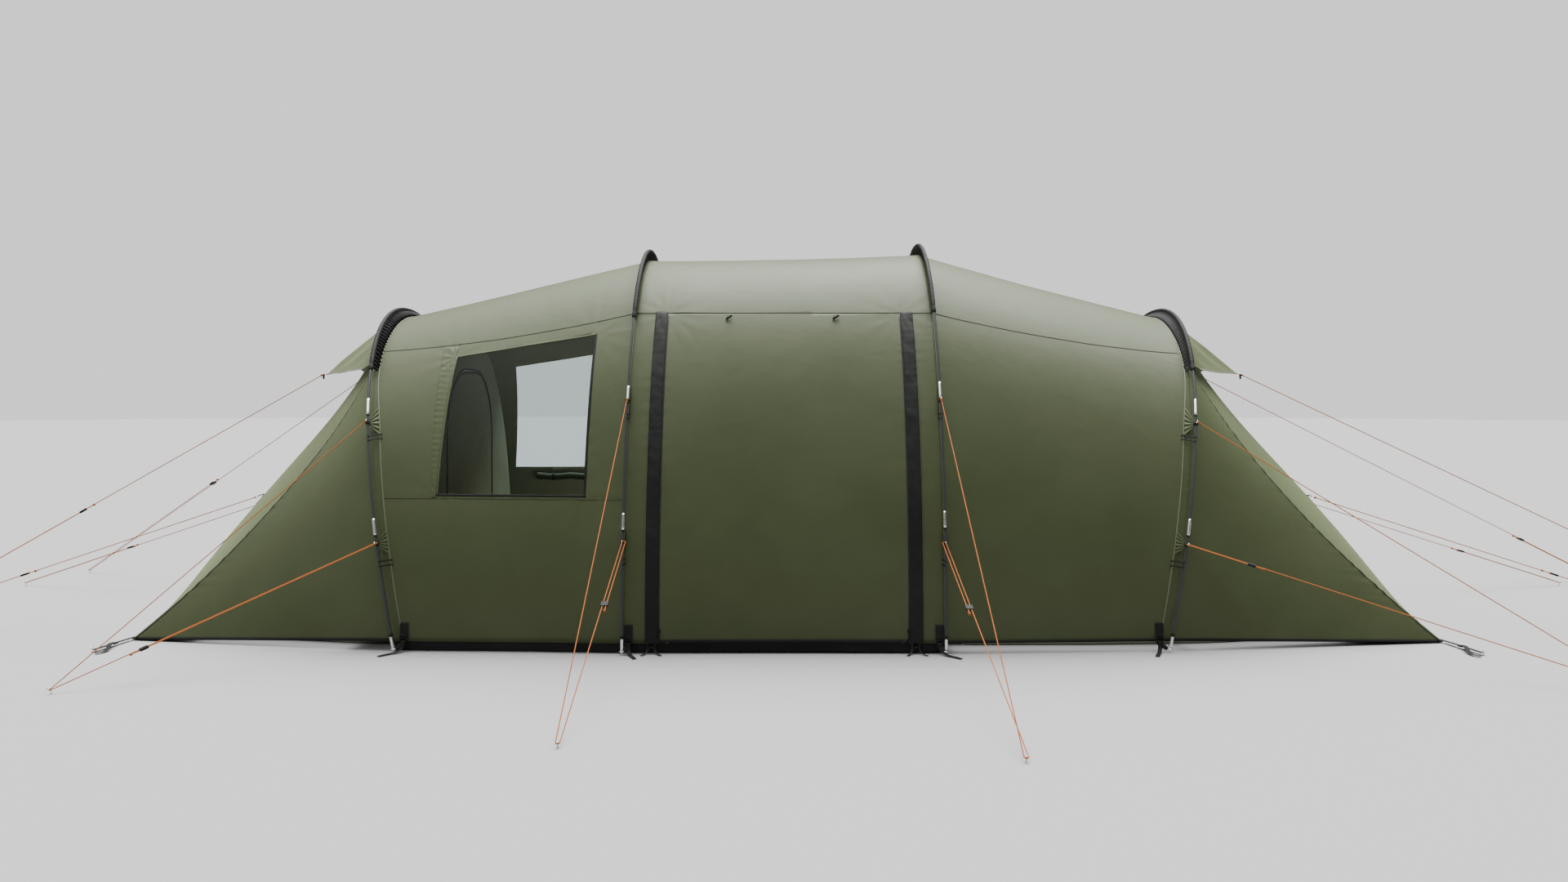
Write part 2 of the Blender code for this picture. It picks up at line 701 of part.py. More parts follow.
def runner_mesh():
    """A line runner: a small block with two bores along the rope."""
    bpy.ops.mesh.primitive_cube_add(size=1.0)
    block = bpy.context.object
    block.data.transform(Matrix.Diagonal((*RUNNER_SIZE, 1.0)))
    bores = []
    for side in (-1, 1):
        bpy.ops.mesh.primitive_cylinder_add(vertices=8, radius=RUNNER_BORE, depth=RUNNER_SIZE[0] * 2)
        bore = bpy.context.object
        bore.data.transform(Matrix.Rotation(math.pi / 2, 4, "Y"))
        bore.location = (0, side * ROPE_BEND, 0)
        boolean(block, bore, "DIFFERENCE")
        bores.append(bore)
    bpy.context.view_layer.update()
    ready = block.evaluated_get(bpy.context.evaluated_depsgraph_get())
    mesh = bpy.data.meshes.new_from_object(ready)
    mesh.name = "rope_runner"
    mesh.materials.clear()
    mesh.materials.append(RUNNER_PLASTIC)
    for item in [block] + bores:
        bpy.data.objects.remove(item, do_unlink=True)
    return mesh


def outward_of(hoop, z):
    """Unit vector square to the front leg at a height, pointing out of the tent."""
    angle = hoop_angle(hoop, z)
    step = 0.01
    rise = hoop_point(hoop, angle + step) - hoop_point(hoop, angle - step)
    return Vector((0, -rise.z, rise.y)).normalized()


def tab_point(hoop, z):
    return hoop_point(hoop, hoop_angle(hoop, z)) + outward_of(hoop, z) * TAB_STEP


def add_guy(label, points, place, mesh):
    tube("guy_rope_" + label, points, ROPE_RADIUS, ROPE_ORANGE)
    runner = add_object("rope_runner_" + label, mesh, RUNNER_PLASTIC)
    runner.matrix_world = place


def make_guys():
    mesh = runner_mesh()
    for number, (hoop, guy) in enumerate(zip(HOOPS, HOOP_GUYS), start=1):
        for label, flip in (("front", Vector((1, 1, 1))), ("back", MIRROR_Y)):
            upper = tab_point(hoop, guy.upper_z) * flip
            lower = tab_point(hoop, guy.lower_z) * flip
            peg = Vector((guy.peg_x, -guy.peg_y, PEG_HEIGHT)) * flip
            points, place = hoop_route(upper, lower, peg, guy.runner_share)
            add_guy(f"hoop_{number}_{label}", points, place, mesh)
    for guy in END_GUYS:
        peg = Vector((*guy.peg, PEG_HEIGHT))
        points, place = end_route(Vector(guy.start), peg, guy.runner_share)
        add_guy(guy.name, points, place, mesh)


# ---------------------------------------------------------------- the tent
def make_tent():
    make_groundsheet()
    make_flysheet()
    make_hood("vent_hood_left", HOOPS[0], -1)
    make_hood("vent_hood_right", HOOPS[3], 1)
    for number, hoop in enumerate(HOOPS, start=1):
        make_pole(f"hoop_pole_{number}", hoop)
        make_sleeve(f"hoop_sleeve_{number}", hoop)
    for label, side in (("left", -1), ("right", 1)):
        make_bedroom("bedroom_" + label, side)
        make_bedroom_door("bedroom_door_" + label, side)
    make_guys()


make_tent()
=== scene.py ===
"""Looks of the tunnel tent: stretched cloth, sleeves, window, guy ropes and webbing.

Metres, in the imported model's own frame: +Z up, -Y the front, +X along the tent.
"""
import math
from collections import namedtuple

import bmesh
import bpy
from mathutils import Matrix, Vector, noise


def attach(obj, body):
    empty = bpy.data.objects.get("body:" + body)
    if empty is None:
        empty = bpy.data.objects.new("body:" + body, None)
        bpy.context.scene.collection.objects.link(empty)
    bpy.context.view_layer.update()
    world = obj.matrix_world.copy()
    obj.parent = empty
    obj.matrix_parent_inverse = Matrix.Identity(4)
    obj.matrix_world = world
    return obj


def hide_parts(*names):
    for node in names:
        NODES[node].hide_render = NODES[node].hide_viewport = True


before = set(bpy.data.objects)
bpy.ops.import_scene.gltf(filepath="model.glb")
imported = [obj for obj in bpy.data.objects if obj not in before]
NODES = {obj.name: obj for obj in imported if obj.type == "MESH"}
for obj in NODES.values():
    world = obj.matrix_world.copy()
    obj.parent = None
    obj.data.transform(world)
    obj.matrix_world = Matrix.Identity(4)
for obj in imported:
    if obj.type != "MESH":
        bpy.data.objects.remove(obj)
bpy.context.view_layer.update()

UP = Vector((0, 0, 1))
ALONG = Vector((1, 0, 0))
ACROSS = Vector((0, 1, 0))
MIRROR_Y = Vector((1, -1, 1))
PLACES = (("front", False), ("back", True))
FLIPS = (Vector((1, 1, 1)), MIRROR_Y)    # the front half as it is, the back half mirrored

# ---------------------------------------------------------------- the tent's own sizes
Hoop = namedtuple("Hoop", "foot_x top_x half_width height ferrules")
HOOPS = (
    Hoop(foot_x=-1.675, top_x=-1.975, half_width=1.14, height=1.555, ferrules=(0.345, 0.68)),
    Hoop(foot_x=-0.69, top_x=-0.69, half_width=1.19, height=1.855, ferrules=(0.305, 0.60)),
    Hoop(foot_x=0.69, top_x=0.69, half_width=1.19, height=1.885, ferrules=(0.305, 0.60)),
    Hoop(foot_x=1.655, top_x=1.955, half_width=1.14, height=1.55, ferrules=(0.345, 0.68)),
)
HOOP_ROUNDNESS = 0.93
LEG_GAP = 0.030
TOP_GAP = 0.050
HEM_LIFT = 0.045
SECTION_SAG = 0.004
TIP_X = 2.945
TIP_Y = {-1: 0.87, 1: 0.93}
TIP_LIFT = 0.004
SEAM_TOP_SHARE = 0.81
SEAM_HOLLOW = 0.214
END_BOW = 0.05
END_BULGE = {-1: 0.165, 1: 0.19}
BULGE_PEAK = 4 / 27
SIDE_SHARE = 0.25            # share of an end's width that each side panel takes
POLE_RADIUS = 0.0055
SLEEVE_END_SHARE = 0.80
FERRULE_LENGTH = 0.07
FOOT_LENGTH = 0.075
TOGGLE_PLACES = (-0.255, 0.240)
DOOR_HALF_WIDTH = 0.5385
DOOR_TOP = 1.4885
FLAP_WIDTH = 0.055
WINDOW_LEFT = {"front": -1.522, "back": -1.637}
WINDOW_LEAN = {"front": 0.0, "back": 0.117}
WINDOW_RIGHT = -0.867
WINDOW_BOTTOM = 0.67
WINDOW_TOP_RIGHT = 1.39
WINDOW_TOP_SLOPE = 0.16
ROOF_SEAM = (1.315, 1.49, 1.49, 1.305)   # height of the roof seam at each hoop
ROOF_SEAM_SAG = 0.16

FABRIC_THICKNESS = 0.001


# ---------------------------------------------------------------- materials
FILM_TINTS = {"front": (0.93, 0.94, 0.93, 1), "back": (0.83, 0.905, 0.90, 1)}
FILM_COLOR = (0.020, 0.026, 0.024, 1)
FILM_SHARE = 0.05                        # how much of the film's own surface is seen over what is behind
CLOTH_GLINT = (0.93, 1.0, 0.84, 1)
THREAD_HEIGHT = 0.0003
ROUGHNESS_SPREAD = (-0.06, 0.08)
ROPE_COLORS = ((0.36, 0.105, 0.022), (0.23, 0.056, 0.010))


def new_material(name, roughness, metallic=0.0, **sockets):
    """A material, its node tree and its shader, with the named sockets set."""
    material = bpy.data.materials.new(name)
    material.use_nodes = True
    shader = material.node_tree.nodes["Principled BSDF"]
    shader.inputs["Roughness"].default_value = roughness
    shader.inputs["Metallic"].default_value = metallic
    for socket, value in sockets.items():
        shader.inputs[socket.replace("_", " ").title().replace("Ior", "IOR")].default_value = value
    return material, material.node_tree, shader


def math_node(tree, operation, *values):
    """Output of a maths node. Each value is a number or an output to link."""
    made = tree.nodes.new("ShaderNodeMath")
    made.operation = operation
    for socket, value in zip(made.inputs, values):
        if isinstance(value, float):
            socket.default_value = value
        else:
            tree.links.new(value, socket)
    return made.outputs[0]


def texture(tree, kind, scale, **inputs):
    """A texture in the object's own coordinates."""
    made = tree.nodes.new(kind)
    made.inputs["Scale"].default_value = scale
    for name, value in inputs.items():
        made.inputs[name].default_value = value
    where = tree.nodes.new("ShaderNodeTexCoord").outputs["Object"]
    tree.links.new(where, made.inputs["Vector"])
    return made


def ramp(tree, value, low, high, start=0.3, end=0.7):
    """A colour ramp between two colours."""
    made = tree.nodes.new("ShaderNodeValToRGB")
    made.color_ramp.elements[0].position = start
    made.color_ramp.elements[0].color = (*low, 1)
    made.color_ramp.elements[1].position = end
    made.color_ramp.elements[1].color = (*high, 1)
    tree.links.new(value, made.inputs["Fac"])
    return made.outputs["Color"]


def bump(tree, height, distance, strength=1.0, before=None):
    """A bump on top of an earlier one, if there is one."""
    made = tree.nodes.new("ShaderNodeBump")
    made.inputs["Strength"].default_value = strength
    made.inputs["Distance"].default_value = distance
    tree.links.new(height, made.inputs["Height"])
    if before:
        tree.links.new(before, made.inputs["Normal"])
    return made.outputs["Normal"]


def dress(tree, shader, color, normal):
    """Links a colour and a normal to a shader."""
    tree.links.new(color, shader.inputs["Base Color"])
    tree.links.new(normal, shader.inputs["Normal"])


def woven_material(name, low, high, roughness, thread, crinkle, sheen=0.0, specular=0.5,
                   sheen_tint=(0.2, 0.2, 0.2, 1)):
    """Plain-weave cloth: crossed threads, cloudy dye and soft crinkles."""
    material, tree, shader = new_material(
        name, roughness, Sheen_Weight=sheen, Sheen_Roughness=0.4, Sheen_Tint=sheen_tint,
        Specular_IOR_Level=specular, Specular_Tint=CLOTH_GLINT)
    clouds = texture(tree, "ShaderNodeTexNoise", 2.2, Detail=6.0, Roughness=0.6)
    threads = []
    for direction in ("X", "Z"):
        wave = texture(tree, "ShaderNodeTexWave", thread, Distortion=0.4)
        wave.bands_direction = direction
        threads.append(wave.outputs["Fac"])
    folds = texture(tree, "ShaderNodeTexNoise", 9.0, Detail=3.0, Distortion=0.6)
    normal = bump(tree, folds.outputs["Fac"], crinkle)
    normal = bump(tree, math_node(tree, "MULTIPLY", *threads), THREAD_HEIGHT, 0.35, normal)
    dress(tree, shader, ramp(tree, clouds.outputs["Fac"], low, high), normal)
    spread = tree.nodes.new("ShaderNodeMapRange")
    spread.inputs["To Min"].default_value = roughness + ROUGHNESS_SPREAD[0]
    spread.inputs["To Max"].default_value = roughness + ROUGHNESS_SPREAD[1]
    tree.links.new(clouds.outputs["Fac"], spread.inputs["Value"])
    tree.links.new(spread.outputs["Result"], shader.inputs["Roughness"])
    return material


def plastic_material(name, color, roughness):
    """Moulded plastic with a fine grain."""
    material, tree, shader = new_material(name, roughness, Specular_IOR_Level=0.12)
    grain = texture(tree, "ShaderNodeTexNoise", 900.0, Detail=2.0).outputs["Fac"]
    light = [min(1.0, part * 1.35) for part in color]
    dress(tree, shader, ramp(tree, grain, color, light), bump(tree, grain, 0.0002, 0.4))
    return material


def metal_material(name, color, roughness):
    """Drawn metal with fine scratches."""
    material, tree, shader = new_material(name, roughness, metallic=1.0)
    scratches = texture(tree, "ShaderNodeTexNoise", 300.0, Detail=4.0, Roughness=0.7).outputs["Fac"]
    dull = [part * 0.75 for part in color]
    dress(tree, shader, ramp(tree, scratches, dull, color), bump(tree, scratches, 0.0001, 0.5))
    return material


def film_material(name, tint):
    """Clear window film that tints what is behind it, with a slight ripple."""
    material, tree, shader = new_material(name, 0.08, Base_Color=FILM_COLOR, Specular_IOR_Level=0.4)
    waves = texture(tree, "ShaderNodeTexNoise", 6.0, Detail=2.0)
    tree.links.new(bump(tree, waves.outputs["Fac"], 0.004, 0.6), shader.inputs["Normal"])
    clear = tree.nodes.new("ShaderNodeBsdfTransparent")
    clear.inputs["Color"].default_value = tint
    mix = tree.nodes.new("ShaderNodeMixShader")
    mix.inputs["Fac"].default_value = FILM_SHARE
    tree.links.new(clear.outputs[0], mix.inputs[1])
    tree.links.new(shader.outputs[0], mix.inputs[2])
    tree.links.new(mix.outputs[0], tree.nodes["Material Output"].inputs["Surface"])
    return material


def rope_material(name):
    """Braided cord: small crossed strands with paler flecks."""
    material, tree, shader = new_material(name, 0.7, Specular_IOR_Level=0.15)
    braid = texture(tree, "ShaderNodeTexVoronoi", 700.0).outputs["Distance"]
    dress(tree, shader, ramp(tree, braid, *ROPE_COLORS, 0.2, 0.8), bump(tree, braid, 0.0005, 0.8))
    return material


FLY = woven_material("olive_polyester", (0.038, 0.047, 0.020), (0.048, 0.058, 0.027),
                     0.46, 1500.0, 0.0016, sheen=0.23, specular=0.18,
                     sheen_tint=(0.74, 0.88, 0.48, 1))
FLY_INSIDE = woven_material("coated_inside", (0.120, 0.136, 0.088), (0.150, 0.168, 0.112),
                            0.6, 1500.0, 0.0016)
# dark olive of the seams; the rolled curtains use it too, and there its darkness is painted shade, far
# darker than their own cloth
SEAM_THREAD_AND_CURTAIN_SHADE = woven_material("dark_olive_seam_and_painted_curtain_shade", (0.018, 0.023, 0.010), (0.026, 0.032, 0.014),
                             0.6, 1200.0, 0.0008, specular=0.15)
SEAM_TAPE = woven_material("olive_seam", (0.070, 0.080, 0.044), (0.088, 0.099, 0.056),
                           0.6, 1200.0, 0.0008, sheen=0.2)
BLACK_CLOTH = woven_material("black_polyester", (0.006, 0.006, 0.0065), (0.012, 0.012, 0.013),
                             0.60, 1300.0, 0.0030, sheen=0.02, specular=0.11)
WEBBING = woven_material("black_webbing", (0.004, 0.004, 0.005), (0.010, 0.010, 0.011),
                         0.8, 500.0, 0.0004, specular=0.2)
INNER = woven_material("inner_polyester", (0.120, 0.135, 0.085), (0.160, 0.176, 0.115),
                       0.75, 1500.0, 0.0025, sheen=0.2)
GROUND = woven_material("grey_polyethylene", (0.035, 0.035, 0.035), (0.060, 0.060, 0.058),
                        0.55, 420.0, 0.0030)
FIBREGLASS = plastic_material("dark_fibreglass", (0.028, 0.030, 0.032), 0.38)
BLACK_PLASTIC = plastic_material("black_plastic", (0.008, 0.008, 0.008), 0.5)
BRIGHT_METAL = metal_material("bright_aluminium", (0.80, 0.81, 0.80), 0.28)
ZIP_COIL = plastic_material("zip_coil", (0.02, 0.02, 0.02), 0.5)
FILMS = {place: film_material("clear_film_" + place, tint) for place, tint in FILM_TINTS.items()}
ROPE = rope_material("orange_cord")


# ---------------------------------------------------------------- mesh helpers
SAME_SPOT = 0.00005
STRAP_EDGE = 0.35                        # height of a strap's chamfer, as a share of its thickness


def add_mesh(name, shape, materials, smooth=True):
    """An object in the scene from a bmesh, which it uses up."""
    mesh = bpy.data.meshes.new(name)
    shape.normal_update()
    shape.to_mesh(mesh)
    shape.free()
    if smooth:
        mesh.shade_smooth()
    item = bpy.data.objects.new(name, mesh)
    bpy.context.scene.collection.objects.link(item)
    for material in materials if isinstance(materials, (list, tuple)) else [materials]:
        mesh.materials.append(material)
    return item


def grid(columns, rows, place, inside=None):
    """A grid whose points go where place(u, v) says, facing away from a point inside."""
    shape = bmesh.new()
    bmesh.ops.create_grid(shape, x_segments=columns, y_segments=rows, size=1.0)
    for vertex in shape.verts:
        vertex.co = place((vertex.co.x + 1) / 2, (vertex.co.y + 1) / 2)
    bmesh.ops.remove_doubles(shape, verts=shape.verts, dist=SAME_SPOT)
    if inside is not None:
        shape.normal_update()
        facing = sum((face.calc_center_median() - inside).dot(face.normal) for face in shape.faces)
        if facing < 0:
            bmesh.ops.reverse_faces(shape, faces=shape.faces)
    return shape


def circle(centre, first, second, radius, steps):
    """Closed line of points round a centre, in the plane of two directions."""
    turns = (2 * math.pi * index / steps for index in range(steps + 1))
    return [centre + (first * math.cos(turn) + second * math.sin(turn)) * radius for turn in turns]


def sweep(stations, closed=False):
    """A closed solid through rings of points; each station is one ring."""
    shape = bmesh.new()
    rings = [[shape.verts.new(point) for point in ring] for ring in stations]
    count = len(rings[0])
    pairs = list(zip(rings, rings[1:]))
    if closed:
        pairs.append((rings[-1], rings[0]))
    for ring, following in pairs:
        for index in range(count):
            after = (index + 1) % count
            shape.faces.new((ring[index], ring[after], following[after], following[index]))
    if not closed:
        shape.faces.new(list(reversed(rings[0])))
        shape.faces.new(rings[-1])
    bmesh.ops.recalc_face_normals(shape, faces=shape.faces)
    return shape


def strap(path, normals, width, thickness, taper=None):
    """A flat band along a path. normals point out of its flat face."""
    stations = []
    for index, (point, normal) in enumerate(zip(path, normals)):
        before = path[max(index - 1, 0)]
        after = path[min(index + 1, len(path) - 1)]
        along = (after - before).normalized()
        side = along.cross(normal).normalized()
        lift = side.cross(along).normalized()
        half = width / 2 * (taper(index / (len(path) - 1)) if taper else 1.0)
        edge = thickness * STRAP_EDGE
        stations.append([
            point - side * half + lift * edge,
            point - side * (half - edge) + lift * thickness,
            point + side * (half - edge) + lift * thickness,
            point + side * half + lift * edge,
            point + side * half,
            point - side * half,
        ])
    return sweep(stations)


def tube_shape(path, radius, sides=10, scale=None):
    """A round solid along a path, with its ring turned by the shortest way."""
    stations = []
    side = None
    for index, point in enumerate(path):
        before = path[max(index - 1, 0)]
        after = path[min(index + 1, len(path) - 1)]
        along = (after - before).normalized()
        if side is None:
            side = along.orthogonal().normalized()
        side = (side - along * side.dot(along)).normalized()
        other = along.cross(side)
        size = radius * (scale(index / (len(path) - 1)) if scale else 1.0)
        ring = []
        for step in range(sides):
            angle = 2 * math.pi * step / sides
            ring.append(point + (side * math.cos(angle) + other * math.sin(angle)) * size)
        stations.append(ring)
    return sweep(stations)


def join_shapes(shapes):
    """One bmesh from several, each left as its own closed body."""
    whole = bmesh.new()
    for shape in shapes:
        holder = bpy.data.meshes.new("holder")
        shape.to_mesh(holder)
        shape.free()
        whole.from_mesh(holder)
        bpy.data.meshes.remove(holder)
    return whole


def rounded_box(size, place, radius, segments=2):
    """A box with rounded edges, turned and moved by a matrix."""
    shape = bmesh.new()
    bmesh.ops.create_cube(shape, size=1.0)
    for vertex in shape.verts:
        vertex.co = Vector(a * b for a, b in zip(vertex.co, size))
    bmesh.ops.bevel(shape, geom=shape.edges[:], offset=radius, segments=segments, affect="EDGES",
                    profile=0.5)
    bmesh.ops.transform(shape, matrix=place, verts=shape.verts)
    return shape


def facing_matrix(place, along, upright):
    """Local X runs along, local Z is as near upright as it can be."""
    x = along.normalized()
    y = upright.cross(x).normalized()
    z = x.cross(y)
    return Matrix.Translation(place) @ Matrix((x, y, z)).transposed().to_4x4()


def on_body(item, body, replaces=()):
    """Puts a piece on the body it moves with, and hides the imported parts it replaces."""
    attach(item, body)
    if replaces:
        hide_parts(*replaces)


# ---------------------------------------------------------------- the tent's surfaces
def lean_x(hoop, z):
    return hoop.foot_x + (hoop.top_x - hoop.foot_x) * z / hoop.height


def hoop_point(hoop, angle, leg_gap=0.0, top_gap=0.0):
    """Point of a hoop's curve. The angle runs from 0 at the front foot to pi at the back."""
    cosine = math.cos(angle)
    sine = max(math.sin(angle), 0.0)
    y = -(hoop.half_width - leg_gap) * math.copysign(abs(cosine) ** HOOP_ROUNDNESS, cosine)
    z = (hoop.height - top_gap) * sine ** HOOP_ROUNDNESS
    return Vector((lean_x(hoop, z), y, z))


def hoop_angle(hoop, z, top_gap=0.0):
    """Angle at which the front leg reaches a height."""
    share = min(z / (hoop.height - top_gap), 1.0)
    return math.asin(share ** (1 / HOOP_ROUNDNESS))


def outward_of(hoop, angle):
    """Unit vector square to a hoop, pointing out of the tent."""
    step = 0.01
    rise = hoop_point(hoop, angle + step) - hoop_point(hoop, angle - step)
    return Vector((0, -rise.z, rise.y)).normalized()


def fly_point(hoop, angle):
    return hoop_point(hoop, angle, LEG_GAP, TOP_GAP)


def fly_angle(hoop, share):
    hem = hoop_angle(hoop, HEM_LIFT, TOP_GAP)
    return hem + (math.pi - 2 * hem) * share


def section_surface(left, right, wrinkle=None):
    """Surface of the flysheet between two hoops, with its wrinkles."""
    def place(u, v):
        angle = fly_angle(left, v)
        start = fly_point(left, angle)
        end = fly_point(right, fly_angle(right, v))
        point = start.lerp(end, u)
        pinch = 1 - SECTION_SAG * 4 * u * (1 - u)
        grow = wrinkle(u, v, point) if wrinkle else 0.0
        point.y = point.y * pinch - grow * math.cos(angle)
        point.z = point.z * pinch + grow * math.sin(angle)
        return point

    return place


def end_surface(hoop, side, wrinkle=None):
    """Tapered end: two side panels and the bulging end panel between their seams."""
    hem_angle = hoop_angle(hoop, HEM_LIFT, TOP_GAP)
    top_angle = hoop_angle(hoop, SEAM_TOP_SHARE * hoop.height, TOP_GAP)
    corner = Vector((side * TIP_X, -TIP_Y[side], TIP_LIFT))
    top = fly_point(hoop, top_angle)
    knee = (corner + top) / 2 - Vector((side * SEAM_HOLLOW, 0, 0))

    def seam(v):
        return corner * (1 - v) ** 2 + knee * 2 * v * (1 - v) + top * v ** 2

    def leg(v):
        return fly_point(hoop, hem_angle + (top_angle - hem_angle) * v)

    def end_panel(w, v):
        bow = side * END_BOW * 4 * w * (1 - w)
        ground = Vector((corner.x + bow, corner.y * (1 - 2 * w), corner.z))
        arch = fly_point(hoop, top_angle + (math.pi - 2 * top_angle) * w)
        near, far = seam(v), seam(v) * MIRROR_Y
        rows = ground * (1 - v) + arch * v + near * (1 - w) + far * w
        lower = corner * (1 - w) + corner * MIRROR_Y * w
        upper = top * (1 - w) + top * MIRROR_Y * w
        point = rows - lower * (1 - v) - upper * v
        point.x += side * END_BULGE[side] * v * (1 - v) ** 2 / BULGE_PEAK * 4 * w * (1 - w)
        return point

    def smooth(u, v):
        if u <= SIDE_SHARE:
            return leg(v).lerp(seam(v), u / SIDE_SHARE)
        if u >= 1 - SIDE_SHARE:
            return (leg(v) * MIRROR_Y).lerp(seam(v) * MIRROR_Y, (1 - u) / SIDE_SHARE)
        return end_panel((u - SIDE_SHARE) / (1 - 2 * SIDE_SHARE), v)

    if not wrinkle:
        return smooth

    def place(u, v):
        point = smooth(u, v)
        return point + normal_of(smooth, u, v, Vector((hoop.foot_x, 0, 0.3))) * wrinkle(u, v, point)

    return place


def normal_of(surface, u, v, inside):
    step = 0.004
    across = surface(min(u + step, 1), v) - surface(max(u - step, 0), v)
    rise = surface(u, min(v + step, 1)) - surface(u, max(v - step, 0))
    normal = across.cross(rise)
    if normal.length < 1e-9:
        return (surface(u, v) - inside).normalized()
    normal.normalize()
    return normal if normal.dot(surface(u, v) - inside) > 0 else -normal


# ---------------------------------------------------------------- camera, floor and light
CAMERA_DISTANCE = 6.32
CAMERA_HEIGHT = 1.104
FOCAL_WIDTHS = 0.769         # focal length, as a share of the picture's width
SENSOR = 36.0
HORIZON_SHIFT = -0.0286
FLOOR_SHADE = 0.27
FLOOR_RADIUS = 60.0
FLOOR_GAP = 0.0005
BACKDROP = 1.40
DOME_HORIZON = 0.08
DOME_ZENITH = 7.0
DOME_STEEPNESS = 3.2
DOME_LEAN = -0.85             # change of the dome's light from its middle to its right side
KEY_STRENGTH = 8.0
KEY_WIDTH = math.radians(50)
KEY_DIRECTION = Vector((-0.14, -0.40, -1.0))
GLOW_POWER = 8.5
GLOW_RADIUS = 0.3
GLOW_COLOR = (1.0, 0.97, 0.80)
GLOW_PLACE = (-0.90, 0.35, 0.40)
HEM_GLOW_WIDTH = 0.12
HEM_GLOW_STRENGTH = 6.5
HEM_GLOWS = (
    ((0.72, -1.05, 0.042), (1.74, -1.03, 0.042)),
    ((1.76, -1.02, 0.038), (2.50, -0.84, 0.030)),
    ((-1.90, -1.02, 0.038), (-2.64, -0.84, 0.030)),
)


def make_camera():
    """A level camera at chest height in front of the tent."""
    data = bpy.data.cameras.new("camera")
    data.sensor_width = SENSOR
    data.lens = FOCAL_WIDTHS * SENSOR
    data.shift_y = HORIZON_SHIFT
    data.clip_end = 200
    camera = bpy.data.objects.new("camera", data)
    camera.location = (0, -CAMERA_DISTANCE, CAMERA_HEIGHT)
    camera.rotation_euler = (math.pi / 2, 0, 0)
    bpy.context.scene.collection.objects.link(camera)
    bpy.context.scene.camera = camera


def make_stage():
    """A wide round floor, just below the tent."""
    shape = bmesh.new()
    bmesh.ops.create_circle(shape, cap_ends=True, segments=96, radius=FLOOR_RADIUS)
    material, _, _ = new_material("pale_floor", 0.9, Base_Color=(*[FLOOR_SHADE] * 3, 1))
    floor = add_mesh("floor", shape, material, smooth=False)
    floor.location.z = -FLOOR_GAP


def make_world():
    """Soft studio dome: bright overhead, dim near the horizon, pale to the camera."""
    world = bpy.data.worlds.new("studio")
    bpy.context.scene.world = world
    world.use_nodes = True
    tree = world.node_tree
    tree.nodes.clear()
    where = tree.nodes.new("ShaderNodeTexCoord").outputs["Generated"]
    split = tree.nodes.new("ShaderNodeSeparateXYZ")
    tree.links.new(where, split.inputs["Vector"])
    above = math_node(tree, "MAXIMUM", split.outputs["Z"], 0.0)
    steep = math_node(tree, "POWER", above, DOME_STEEPNESS)
    level = math_node(tree, "MULTIPLY_ADD", steep, DOME_ZENITH, DOME_HORIZON)
    lean = math_node(tree, "MULTIPLY_ADD", split.outputs["X"], DOME_LEAN, 1.0)
    dome = tree.nodes.new("ShaderNodeBackground")
    tree.links.new(math_node(tree, "MULTIPLY", level, lean), dome.inputs["Strength"])
    pale = tree.nodes.new("ShaderNodeBackground")
    pale.inputs["Strength"].default_value = BACKDROP
    path = tree.nodes.new("ShaderNodeLightPath")
    mix = tree.nodes.new("ShaderNodeMixShader")
    for socket, source in enumerate((path.outputs["Is Camera Ray"], dome.outputs[0], pale.outputs[0])):
        tree.links.new(source, mix.inputs[socket])
    output = tree.nodes.new("ShaderNodeOutputWorld")
    tree.links.new(mix.outputs[0], output.inputs["Surface"])


def add_light(name, kind, energy, hidden=True, **settings):
    """A light, its own body kept out of sight and out of reflections if hidden."""
    data = bpy.data.lights.new(name, kind)
    data.energy = energy
    for setting, value in settings.items():
        setattr(data, setting, value)
    light = bpy.data.objects.new(name, data)
    if hidden:
        light.visible_camera = False
        light.visible_glossy = False
    bpy.context.scene.collection.objects.link(light)
    return light


def make_lights():
    """A wide, soft light from high behind, a dim glow inside the tent and one under each raised hem."""
    key = add_light("key", "SUN", KEY_STRENGTH, hidden=False, angle=KEY_WIDTH)
    key.rotation_euler = KEY_DIRECTION.to_track_quat("-Z", "Y").to_euler()
    glow = add_light("inside_glow", "POINT", GLOW_POWER, shadow_soft_size=GLOW_RADIUS, color=GLOW_COLOR)
    glow.location = GLOW_PLACE
    for number, (start, end) in enumerate(HEM_GLOWS, start=1):
        start = Vector(start)
        along = Vector(end) - start
        power = HEM_GLOW_STRENGTH * along.length * HEM_GLOW_WIDTH
        strip = add_light(f"hem_glow_{number}", "AREA", power, shape="RECTANGLE",
                          size=along.length, size_y=HEM_GLOW_WIDTH)
        strip.location = start + along / 2
        strip.rotation_euler.z = math.atan2(along.y, along.x)


# ---------------------------------------------------------------- guy ropes
ROPE_RADIUS = 0.002
ROPE_BEND = 0.007
TAB_STEP = 0.022
KNOT_TAIL = 0.05
PEG_HEIGHT = 0.018
BEND_STEPS = 10
STRAND_STEPS = 6
KNOT_TURNS = 2
KNOT_STEPS = 32
PEG_WIRE = 0.0022
PEG_BEND = 0.007
PEG_STEM = 0.016
RUNNER_EDGE = 0.0012

